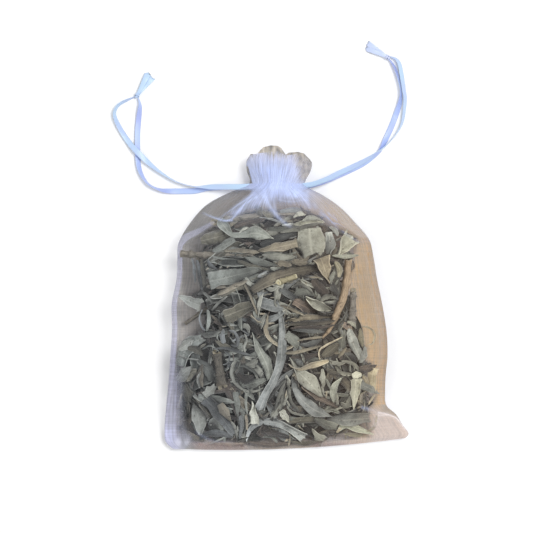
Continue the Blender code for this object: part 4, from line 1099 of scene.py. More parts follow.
def leaf_piece(name, blades, colour, sunlit_depth=SUNLIT_DEPTH):
    """One object from one or more leaf grids, each with its places; leaf that lies deeper is painted darker,
    as shade.
    """
    points, places, faces = [], [], []
    offset = 0
    for grid, place in blades:
        # Painted shade: each leaf is lighter on one side as if rolled to the light, lighter and darker along
        # it as if bent, and darker the deeper it lies under the cloth.
        buried = height_over(ceiling, grid[..., 0], grid[..., 1]) - grid[..., 2] - sunlit_depth
        turned = SIDE_SHADE * math.sin(7 * place[0, 0, 0]) * place[..., 1]
        painted_bend_shade = BEND_SHADE * np.sin(0.3 * place[..., 0])
        place[..., 2] += turned + painted_bend_shade - DARKER_PER_MM * np.clip(buried, 0, 6)
        rows, columns = grid.shape[:2]
        faces += (grid_faces(rows, columns, turned=True) + offset).tolist()
        points.append(grid.reshape(-1, 3))
        places.append(place.reshape(-1, 3))
        offset += rows * columns
    piece = add_piece(
        name, np.concatenate(points), faces, LEAF_FINISHES[colour], np.concatenate(places),
        "leaf_place",
    )
    solid = piece.modifiers.new("thickness", "SOLIDIFY")
    solid.thickness = BLADE_THICKNESS * MM
    solid.offset = 0.0
    return piece


def smoothed(values, passes):
    """A grid of heights with each point drawn to its neighbours, along both of its ways."""
    for _ in range(passes):
        for axis in (0, 1):
            width = ((1, 1), (0, 0)) if axis == 0 else ((0, 0), (1, 1))
            wide = np.pad(values, width, mode="reflect", reflect_type="odd")
            if axis == 0:
                values = (wide[:-2] + 2 * wide[1:-1] + wide[2:]) / 4
            else:
                values = (wide[:, :-2] + 2 * wide[:, 1:-1] + wide[:, 2:]) / 4
    return values


def solid_heights(tree, x, y):
    """The middle height of a thin solid over places in plan, taken at its nearest point beside it."""
    heights = np.zeros(x.shape)
    for place in np.ndindex(x.shape):
        top = surface_height(tree, x[place], y[place], -1.0)
        bottom = surface_height(tree, x[place], y[place], 1.0)
        if top is not None:
            heights[place] = (top + bottom) / 2
            continue
        nearest = None
        for guess in (10.0, 20.0, 30.0):
            found = tree.find_nearest(Vector((x[place], y[place], guess)))[0]
            gap = math.hypot(found.x - x[place], found.y - y[place])
            if nearest is None or gap < nearest[0]:
                nearest = (gap, found.z)
        heights[place] = nearest[1]
    return heights


def fine_grid(grid):
    """A leaf grid's points with two more between each two, as a flat list."""
    rows = np.linspace(0, grid.shape[0] - 1, 3 * grid.shape[0] - 2)
    columns = np.linspace(0, grid.shape[1] - 1, 3 * grid.shape[1] - 2)
    low_row = np.minimum(rows.astype(int), grid.shape[0] - 2)
    low_column = np.minimum(columns.astype(int), grid.shape[1] - 2)
    a, b = (rows - low_row)[:, None, None], (columns - low_column)[None, :, None]
    near = grid[low_row][:, low_column] * (1 - a) + grid[low_row + 1][:, low_column] * a
    far = grid[low_row][:, low_column + 1] * (1 - a) + grid[low_row + 1][:, low_column + 1] * a
    return (near * (1 - b) + far * b).reshape(-1, 3)


def cells_at(x, y):
    """The column and the line of the cell that each place lies in."""
    column = np.clip(np.rint((x - LEFT_END) / CELL).astype(int), 0, COLUMNS - 1)
    line = np.clip(np.rint((y - LOWER_END) / CELL).astype(int), 0, LINES - 1)
    return column, line


PILE_GAP = 0.3
NO_LEAF = 90.0
leaf_top = np.full((COLUMNS, LINES), -NO_LEAF)
leaf_under = np.full((COLUMNS, LINES), NO_LEAF)


def raise_pile(grid):
    """Raises the pile to a leaf laid on it, and returns the leaf's points and their cells."""
    points = fine_grid(grid)
    cells = cells_at(points[:, 0], points[:, 1])
    np.maximum.at(pile, cells, points[:, 2] + PILE_GAP)
    return points, cells


def mark_leaf(grid):
    """Notes the heights between which a leaf lies, and the pile's new top, in the cells that it covers."""
    points, cells = raise_pile(grid)
    np.maximum.at(leaf_top, cells, points[:, 2])
    np.minimum.at(leaf_under, cells, points[:, 2])


def tucked_under(x, y, z):
    """The same heights, with every place that a leaf in full view covers drawn below that leaf."""
    under = np.minimum(height_over(leaf_under, x, y), leaf_under[cells_at(x, y)])
    return np.where(under < NO_LEAF, np.minimum(z, under - CLEAR_OF_LEAF), z)


def leaf(node, spine, widths, colour, curl, seed, crush=1.0, tone=0.6):
    """A loose leaf against the front cloth, as fine as the real one, where its plain solid lies."""
    chance = random.Random(1000 + seed)
    x, y, lift, rolls, places = blade_plan(spine, widths, curl, 0.0, chance)
    shares = np.linspace(0, 1, x.shape[0])
    tones = np.interp(shares, np.linspace(0, 1, np.size(tone)), np.ravel(tone))
    places[..., 2] = tones[:, None] + chance.uniform(-0.15, 0.15)
    centre = along_spine(spine, shares)[:, :2]
    inner_x = centre[:, :1] + (x - centre[:, :1]) * 0.8
    inner_y = centre[:, 1:] + (y - centre[:, 1:]) * 0.8
    z = smoothed(solid_heights(tree_of([node]), inner_x, inner_y), SHEET_SMOOTHING)
    shape = rolls + EXTRA_CURL * lift * (-1 if seed % 3 == 1 else 1)
    creases = crush * 0.9 * np.abs(value_noise(np.stack([x, y, 0 * x], axis=-1), 4.5, seed))
    z = z + shape - 0.6 * np.percentile(shape, 85) + (crush - 0.7) * creases
    z = z + crumpled(x, y, places, widths, chance, 0.35 * crush, 0.3 * crush)
    z = np.minimum(z, height_over(ceiling, x, y) + ABOVE_LINING)
    grid = np.stack([x, y, z], axis=-1)
    mark_leaf(grid)
    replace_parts(leaf_piece("felted_" + node, [(grid, places)], colour, SEEN_DEPTH), node)


# each loose leaf's node, spine in plan, widths from foot to tip, colour, curl, how crushed it is, and its
# tone, or those of its foot, middle and tip, in seven steps: -0.9, -0.4, 0.2, 0.9, 1.6, 2.4 and 4; each tone
# holds the leaf's own colour together with painted light and shade
LOOSE_LEAVES = (
    (
        "leaf_curled_pale", ((-35.6, 41), (-33, 37.6), (-29, 33.4), (-22.1, 33), (-15.8, 34), (-7, 31.2)),
        (4.5, 6.5, 3, 4.2, 8.2, 1), "mint", 45, 1, (0.9, 0.2, 0.9),
    ),
    (
        "leaf_beige_long", ((-15.2, 24.7), (-6.1, 26.3), (5.6, 28.9)), (1.5, 5.2, 6.5), "tan", 70, 1,
        (0.2, 0.9, 0.9),
    ),
    (
        "leaf_square_broad", ((12, 36.6), (12.6, 29.4), (13.6, 22.3)), (13, 17, 14.5), "pale", 60, 1.2,
        (0.2, 0.2, -0.4),
    ),
    (
        "leaf_round_blue", ((22.2, 34.6), (22.9, 28.9), (22.1, 23.1)), (4, 7.5, 4), "blue_grey", 80, 1,
        (2.4, 0.2, -0.4),
    ),
    (
        "leaf_wedge_green", ((26.2, 21.4), (30, 26.6), (34.6, 32)), (0.8, 6.5, 11.5), "pale", 60, 1.4,
        0.9,
    ),
    (
        "leaf_centre_long",
        ((-5.1, -1), (-3, -12), (-2.6, -24), (-3.2, -34), (-6.5, -43), (-10.5, -50.5), (-14.1, -59)),
        (0.8, 3.8, 5.6, 5.6, 5, 5.2, 7.2), "blue_grey", 75, 1.3, (0.2, 0.2, 0.9),
    ),
    (
        "leaf_elbow_thin",
        ((-9.9, -9), (-10.9, -16.6), (-9, -21.8), (-3.1, -25.8), (1.3, -26.6), (6.1, -22.8)),
        (1.2, 2.6, 2.4, 2.2, 2, 1.6), "straw", 60, 0.6, (0.2, 0.2, 0.9),
    ),
    ("leaf_triangle_tan", ((17.9, 21), (20.2, 14.6), (22.6, 7.4)), (10.8, 7, 0.8), "tan", 50, 1, 1.6),
    (
        "leaf_tan_large", ((-18.4, 3.4), (-6.1, 10.3), (9.9, 14.6), (18.9, 15.6)), (4, 8.5, 7.5, 4), "tan",
        80, 1, (-0.4, 0.9, 0.2),
    ),
    (
        "leaf_broad_grey", ((-41, 8.4), (-30.1, 11), (-13.2, 15.2)), (9.5, 8.6, 2.6), "mint", 75, 1.4,
        (0.2, -0.4, -0.9),
    ),
    (
        "leaf_crumpled_white", ((9.8, 0.6), (14, -2.4), (18.5, -4.8), (23.8, -6.6)), (2.5, 5.4, 5.6, 2.8),
        "pale", 80, 2, (1.6, 0.9, 2.4),
    ),
    (
        "leaf_folded_tan", ((-0.8, -12.4), (9.5, -10.6), (26.4, -10.4)), (2, 4, 3), "tan", 100, 1,
        (1.6, 1.6, 4),
    ),
    (
        "leaf_blade_grey", ((-18.4, -18.2), (-14.6, -27), (-10.6, -35.5), (-8.6, -43.8)),
        (0.8, 5, 6.4, 5.2), "mint", 70, 1, (0.2, 0.9, 0.9),
    ),
    (
        "leaf_yellow_narrow", ((0.9, -35), (6.5, -37.8), (13.5, -35.8), (22.1, -33.6)), (0.8, 2, 4, 3.2),
        "straw", 110, 0.7, (0.2, 0.2, 0.9),
    ),
    (
        "leaf_broad_pale", ((1.4, -31.6), (6, -39), (12, -45), (18.6, -52.6)), (0.8, 5.5, 9.6, 3), "pale",
        60, 0.9, 0.2,
    ),
    (
        "leaf_lower_arc", ((2.5, -42.2), (4.7, -49.3), (9.1, -55.3), (15.6, -60.2), (24.2, -63.6)),
        (2, 4.8, 7, 6.8, 0.8), "blue_grey", 70, 0.8, (0.9, 0.2, 0.2),
    ),
    (
        "leaf_cupped_loop",
        ((-22.9, -30.1), (-28, -35), (-29, -40.6), (-27, -45.4), (-22, -49.2), (-15.7, -49.4), (-8, -44.9)),
        (1.2, 2.4, 2.8, 2.4, 1.6, 1.5, 1), "pale", -150, 0.7, (-0.4, -0.4, 0.2),
    ),
    (
        "leaf_diagonal_blue", ((-43, -54), (-36.5, -61.5), (-28, -73)), (8.4, 7.4, 4), "blue_grey", 70, 0.8,
        (-0.9, -0.9, -0.4),
    ),
    (
        "leaf_spotted_pale", ((-49.4, -56.4), (-46.8, -65), (-45.8, -73.2)), (1, 8.6, 3.4), "pale", 60, 1.1,
        (-0.9, -0.4, 0.2),
    ),
    (
        "leaf_bright_shard", ((-18.4, -55), (-17.8, -60.6), (-16.9, -67.6)), (0.8, 4.2, 6.8), "pale", 10,
        0.2, 1.6,
    ),
    (
        "leaf_arched_low",
        ((-21.4, -77), (-19.4, -71), (-13.4, -66.6), (-5, -66.9), (0.6, -69.5), (9.6, -75)),
        (1.2, 3.4, 5.2, 5, 5.6, 6.6), "blue_grey", 50, 0.8, (2.4, 1.6, 0.9),
    ),
    (
        "leaf_tall_pale", ((36.6, -43), (36.6, -47.6), (36, -53), (35.6, -59.6)), (7, 7.6, 5, 0.8), "pale",
        60, 0.9, 0.9,
    ),
    (
        "leaf_curly_white", ((25.9, -36.4), (27.6, -39), (30.8, -40.6), (35, -40.8)), (1, 1.8, 2.2, 1.8),
        "pale", 60, 1, 0.2,
    ),
    (
        "leaf_edge_yellow", ((46.6, -37.6), (45.4, -42.5), (45.8, -49.6)), (6.4, 5.6, 4.4), "straw", 90,
        0.8, (1.6, 0.9, 0.9),
    ),
    (
        "leaf_grey_wide", ((21.5, -64.6), (31.2, -65.4), (44, -64.5)), (5, 8, 6), "blue_grey", 60, 1.4,
        (-0.9, -0.4, 0.2),
    ),
    (
        "leaf_corner_green", ((26.9, -71.6), (31.9, -68.2), (39, -70.4), (46.8, -73.4)),
        (2.2, 5.2, 4.2, 0.8), "mint", 70, 0.8, (4, 2.4, 2.4),
    ),
    (
        "leaf_left_crumpled", ((-56, -36.6), (-53, -26.6), (-44.5, -21.4)), (5.5, 11, 6), "mint", 80, 2.6,
        (-0.4, 0.2, 0.2),
    ),
    (
        "leaf_left_low", ((-57.4, -43.4), (-53.6, -41.4), (-47.6, -38.7)), (4, 8, 4), "olive", 70, 2,
        (0.9, 0.9, 0.2),
    ),
    ("leaf_fan_left", ((-57.9, 1.1), (-51.6, -2), (-45.6, -4.4)), (0.8, 6, 9.2), "pale", 60, 1.6, 0.2),
    (
        "leaf_olive_square", ((-32.8, -10), (-25.9, -7.3), (-18, -4.2)), (7, 8.4, 6.5), "olive", 60, 0.7,
        (0.9, 0.2, -0.9),
    ),
    (
        "leaf_right_lilac", ((32.8, -16.4), (35.4, -24.9), (39.2, -32.4)), (3, 6.2, 4), "blue_grey", 80, 1,
        (1.6, 0.9, 0.2),
    ),
    (
        "leaf_brown_smooth", ((3.6, -1.8), (9.5, -4.8), (16.4, -8.8)), (4.5, 7, 2.5), "brown", 70, 1,
        4,
    ),
    (
        "leaf_brown_folds", ((-45.5, 30), (-38.1, 31.6), (-29.2, 34.2)), (5, 8.6, 5), "olive", 90, 2.4,
        (0.9, 0.2, 0.9),
    ),
    ("leaf_blue_folded", ((-14.1, 27.9), (-3.5, 31.6), (7.1, 34.3)), (3, 5, 3), "blue_grey", 90, 1, -0.9),
    (
        "leaf_fan_upper", ((3.1, 38.2), (11, 39.8), (19.9, 40.1)), (2, 4.6, 2), "pale", 90, 1,
        4,
    ),
)
for leaf_number, (node, spine, widths, colour, curl, *extra) in enumerate(LOOSE_LEAVES):
    leaf(node, spine, widths, colour, curl, leaf_number, *extra)


# Cut stems
# Lengths of woody sage stem lie among the leaves: squarish and ridged, swollen where leaves grew,
# and cut clean across, which shows a pale ring of wood round a pithy or hollow middle.
STEM_SIDES = 16
STEM_RINGS = 48
CUT_MARK = 50.0
HOLLOW_FLOOR, HOLLOW_RIM, WOOD_EDGE = 0.28, 0.42, 0.92
HOLLOW_DEPTH = 1.2
CUT_BEVEL = 0.1
CUT_CLEARANCE = 0.25
SHORT_STEM = 22.0
LEVELLED = 0.3


def bark(name, bark_colour, ridge_colour, cut_colour):
    """Dry bark with ridges along it and a pale cut end."""
    material, tree, sockets = new_material(name, {"Roughness": 0.8})
    place = noted(tree, "stem_place")
    ridges = noise_at(tree, times(tree, place, (0.22, 2.4, 1.0)), 1.3, 5.0, 0.65)
    ridged = blended(tree, ranged(tree, ridges, 0.40, 0.66), bark_colour, ridge_colour)
    dark = ranged(tree, noise_at(tree, place, 0.45, 2.0), 0.56, 0.68, 0.0, 0.6)
    aged = blended(tree, dark, ridged, tuple(0.4 * value for value in bark_colour))
    mark = new_node(tree, "SeparateXYZ", {0: place}).outputs["Z"]
    toned = scaled(tree, aged, reckon(tree, "ADD", reckon(tree, "MINIMUM", mark, 1.0), 1.0))
    is_cut = ranged(tree, mark, 0.8 * CUT_MARK, 0.9 * CUT_MARK)
    tree.links.new(blended(tree, is_cut, toned, cut_colour), sockets["Base Color"])
    raised(tree, sockets, ridges, 0.8, 0.0003)
    return material


BARKS = {
    "stem_bark": bark("bark_grey_brown", (0.13, 0.118, 0.10), (0.34, 0.31, 0.26), (0.30, 0.265, 0.19)),
    "stem_tan": bark("bark_tan", (0.24, 0.175, 0.115), (0.60, 0.45, 0.29), (0.42, 0.35, 0.25)),
    "stem_straw": bark("bark_straw", (0.40, 0.35, 0.21), (0.60, 0.54, 0.36), (0.78, 0.73, 0.52)),
}


def stem_body(centres, radii, chance, slants=(0.6, 0.6), tone=0.0):
    """Rings of a squarish stem from one cut end to the other, sunk in at both, with their places."""
    heading = headings(centres)
    level = unit(np.cross([0.0, 0.0, 1.0], heading))
    upright = np.cross(heading, level)
    angles = np.linspace(0, 2 * math.pi, STEM_SIDES, endpoint=False)
    spin = chance.uniform(0, math.pi / 2)
    square = 1 + 0.07 * np.cos(4 * (angles + spin))
    rings, places = [], []
    run = run_along(centres)
    seed = chance.uniform(0, 30)

    def ring(k, scale, inward, mark, slant=0.0):
        corners = [Vector((2 * math.cos(angle), 2 * math.sin(angle), run[k] / 3 + seed)) for angle in angles]
        rough = np.array([1 + 0.16 * noise.noise(corner) for corner in corners])
        reach = radii[k] * scale * square * rough
        offset = level[k] * (np.cos(angles) * reach)[:, None] + upright[k] * (np.sin(angles) * reach)[:, None]
        rings.append(centres[k] + offset + heading[k] * (inward + slant * np.sin(angles) * reach)[:, None])
        run_and_mark = np.full((STEM_SIDES, 2), (run[k] + seed, mark))
        places.append(np.insert(run_and_mark, 1, angles * radii[k], axis=1))

    last = len(centres) - 1
    first_slant, last_slant = slants
    hollow = (HOLLOW_FLOOR, min(HOLLOW_DEPTH, run[-1] / 6), 0.0)
    cut = (hollow, (HOLLOW_RIM, 0.0, CUT_MARK), (WOOD_EDGE, 0.0, CUT_MARK), (1.0, CUT_BEVEL, 0.0))
    for scale, inward, mark in cut:
        ring(0, scale, inward, mark, first_slant)
    first_clear = first_slant * radii[0] + CUT_CLEARANCE
    last_clear = run[-1] - last_slant * radii[-1] - CUT_CLEARANCE
    for k in range(last + 1):
        if first_clear < run[k] < last_clear:
            ring(k, 1.0, 0.0, tone)
    for scale, inward, mark in reversed(cut):
        ring(last, scale, -inward, mark, -last_slant)
    points, faces = loft(rings)
    return points, faces, np.concatenate(places)


def swollen(count, widths, nodes_along, chance):
    """Radii along a stem that swells where its leaves grew."""
    shares = np.linspace(0, 1, count)
    plain = blade_widths(widths, shares) / 2
    radii = plain * (0.9 + 0.04 * np.sin(shares * 7 + chance.uniform(0, 6)))
    for place in nodes_along:
        radii = radii + plain * 0.3 * np.exp(-(((shares - place) / 0.03) ** 2))
    return np.minimum(radii, plain * 1.25)


def stem(node, spine, widths, slot, slants, tone, seed):
    """A loose cut stem along its plain solid's middle."""
    chance = random.Random(2000 + seed)
    plan = along_spine(spine, np.linspace(0, 1, STEM_RINGS))[:, :2]
    z = solid_heights(tree_of([node]), plan[:, :1], plan[:, 1:])[:, 0]
    z = smoothed(z[:, None] + np.zeros((1, 3)), 4)[:, 0]
    if np.linalg.norm(plan[-1] - plan[0]) < SHORT_STEM:
        z = z.mean() + LEVELLED * (z - z.mean())
    centres = np.column_stack([plan, z])
    mark_leaf(centres[:, None, :] + np.array([[-1.0, 0, 0], [0, 0, 0], [1.0, 0, 0]]) * max(widths) / 2)
    nodes_along = [chance.uniform(0.1, 0.3), chance.uniform(0.45, 0.6), chance.uniform(0.75, 0.92)]
    radii = swollen(STEM_RINGS, widths, nodes_along, chance)
    points, faces, places = stem_body(centres, radii, chance, slants, tone)
    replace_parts(add_piece("barked_" + node, points, faces, BARKS[slot], places, "stem_place"), node)


# each stem's node, spine in plan, widths, slot, how far its two cuts slant, and how much lighter its bark is,
# which holds its own colour together with painted light and shade
LOOSE_STEMS = (
    (
        "stem_long_tan",
        ((32.8, 20.4), (31.8, 9), (29.6, -1), (27, -7.4), (25, -12.4), (22.2, -17.6), (18.6, -21.4)),
        (4.6, 4.4, 4.4, 4, 3, 1.9, 1.5), "stem_tan", (0.4, 0.4), 0,
    ),
    (
        "stem_upper_grey", ((-56.4, 23.2), (-47, 22.6), (-38.1, 22.5), (-17.2, 22.6)), (4.2, 3.2, 3.6, 3.4),
        "stem_bark", (0.4, 0.4), 0,
    ),
    (
        "stem_cut_yellow", ((-4.6, 7.8), (0, 9.4), (5.2, 11.4)), (3.6, 3, 2.6), "stem_straw", (0.9, 0.3),
        -0.3,
    ),
    (
        "stem_square_grey", ((-37, -28.6), (-35.4, -38.7), (-33.9, -47.6)), (5.2, 5.2, 5.8), "stem_bark",
        (0, 0.3), -0.5,
    ),
    (
        "stem_right_dark", ((35.3, 3.9), (34.9, -5.7), (34.1, -14.4)), (3.6, 4.2, 4), "stem_bark",
        (0.4, 0.4), 0,
    ),
    (
        "stem_upper_dark", ((-38.4, 39.9), (-13.1, 43.4), (9.9, 44.5)), (4, 3.2, 3), "stem_bark",
        (0.9, 0.4), 0.5,
    ),
)
for stem_number, stem_row in enumerate(LOOSE_STEMS):
    stem(*stem_row, stem_number)


# Leafy stems
# Under the loose leaves lie whole cut sprigs, as the herb is picked: a bent stem with its leaves on
# both sides, pressed flat on each other. They fill the back of the pouch.
SPRIG_SEED = 7
LAID_SPRIGS = (
    ((-52, -58), 62, 58, 5),
    ((-30, -70), 76, 62, 5),
    ((0, -68), 96, 60, 5),
    ((26, -60), 104, 56, 5),
    ((46, -40), 120, 54, 4),
    ((-54, -14), 30, 56, 5),
    ((-48, 20), 8, 54, 4),
    ((-56, -40), 22, 60, 5),
    ((-14, -62), 58, 56, 5),
)
SPRIG_COLOURS = ("mint", "olive", "pale")
SPRIG_BEND = 0.12
FIRST_LEAF, LEAVES_OVER = 0.22, 0.7
LEAN_RANGE = (18, 42)
REACH_RANGE = (25, 38)
WIDTH_RANGE = (7.5, 10.5)
LEAF_BOW = 3
INSIDE_SHARE = 0.9
TWIG_RINGS = 30
TWIG_WIDTHS = (2.3, 2.3)
TWIG_NODES = (0.22, 0.45, 0.7, 0.92)


def onto_solid(tree, x, y):
    """Places on top of a solid over places in plan, or at its nearest point beside it."""
    points = np.zeros((*x.shape, 3))
    for place in np.ndindex(x.shape):
        top = surface_height(tree, x[place], y[place], -1.0)
        if top is not None:
            points[place] = (x[place], y[place], top)
        else:
            points[place] = tree.find_nearest(Vector((x[place], y[place], 8.0)))[0]
    return points


def sprig(number, foot, heading, length, leaf_count):
    """One leafy stem on the lines of its plain solid."""
    node = f"sprig_{number:02d}"
    colour = SPRIG_COLOURS[number % 3]
    tree = tree_of([node])
    chance = random.Random(SPRIG_SEED * 100 + number)
    detail = random.Random(3000 + number)
    turn = math.radians(heading)
    ahead = np.array((math.cos(turn), math.sin(turn)))
    beside = np.array((-ahead[1], ahead[0]))
    bend = chance.uniform(-SPRIG_BEND, SPRIG_BEND) * length
    start = np.array(foot, float)
    spine = (start, start + ahead * length * 0.5 + beside * bend, start + ahead * length)
    blades = []
    for k in range(leaf_count):
        share = FIRST_LEAF + LEAVES_OVER * k / (leaf_count - 1)
        side = 1 if k % 2 else -1
        root = along_spine(spine, np.array([share]))[0]
        lean = turn + side * math.radians(chance.uniform(*LEAN_RANGE))
        reach = chance.uniform(*REACH_RANGE)
        out = np.array((math.cos(lean), math.sin(lean)))
        bow = np.array((-out[1], out[0])) * chance.uniform(-LEAF_BOW, LEAF_BOW)
        widths = (2.4, chance.uniform(*WIDTH_RANGE), 1.2)
        curl = chance.uniform(15, 60)
        # the plain solid's leaves are twisted here, and its draws are kept in step with these
        chance.uniform(-15, 15)
        blade_spine = (root, root + out * reach * 0.5 + bow, root + out * reach)
        x, y, _, rolls, places = blade_plan(blade_spine, widths, curl, 0.0, detail, 20, 8)
        if inside_herb(x, y).mean() <= INSIDE_SHARE:
            continue
        grid = onto_solid(tree, x, y)
        grid[..., 2] = smoothed(grid[..., 2], 3) - 0.5 + 0.25 * (k % 3 - 1)
        grid[..., 2] += 0.5 * rolls + crumpled(x, y, places, widths, detail, 0.3, 0.25)
        blades.append((grid, places))
    leaves = leaf_piece(f"sprig_leaves_{number:02d}", blades, colour)
    plan = along_spine(spine, np.linspace(0, 1, TWIG_RINGS))
    centres = onto_solid(tree, plan[:, :1], plan[:, 1:])[:, 0, :]
    centres[:, 2] = smoothed(centres[:, 2:] + np.zeros((1, 3)), 4)[:, 0] - 1.1
    radii = swollen(TWIG_RINGS, TWIG_WIDTHS, TWIG_NODES, detail)
    points, faces, places = stem_body(centres, radii, detail)
    twig = add_piece(
        f"sprig_stem_{number:02d}", points, faces, BARKS["stem_bark"], places, "stem_place"
    )
    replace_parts(leaves, node)
    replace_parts(twig, node)


for sprig_number, sprig_row in enumerate(LAID_SPRIGS, 1):
    sprig(sprig_number, *sprig_row)


# Smaller leaves seen through the cloth
# Between the large leaves lie thin curled strips, folded tips and bits of rib. They hang just under
# the front cloth, tucked below the large ones.
TOP_DEPTH = 1.7
LEAST_CURL = 60
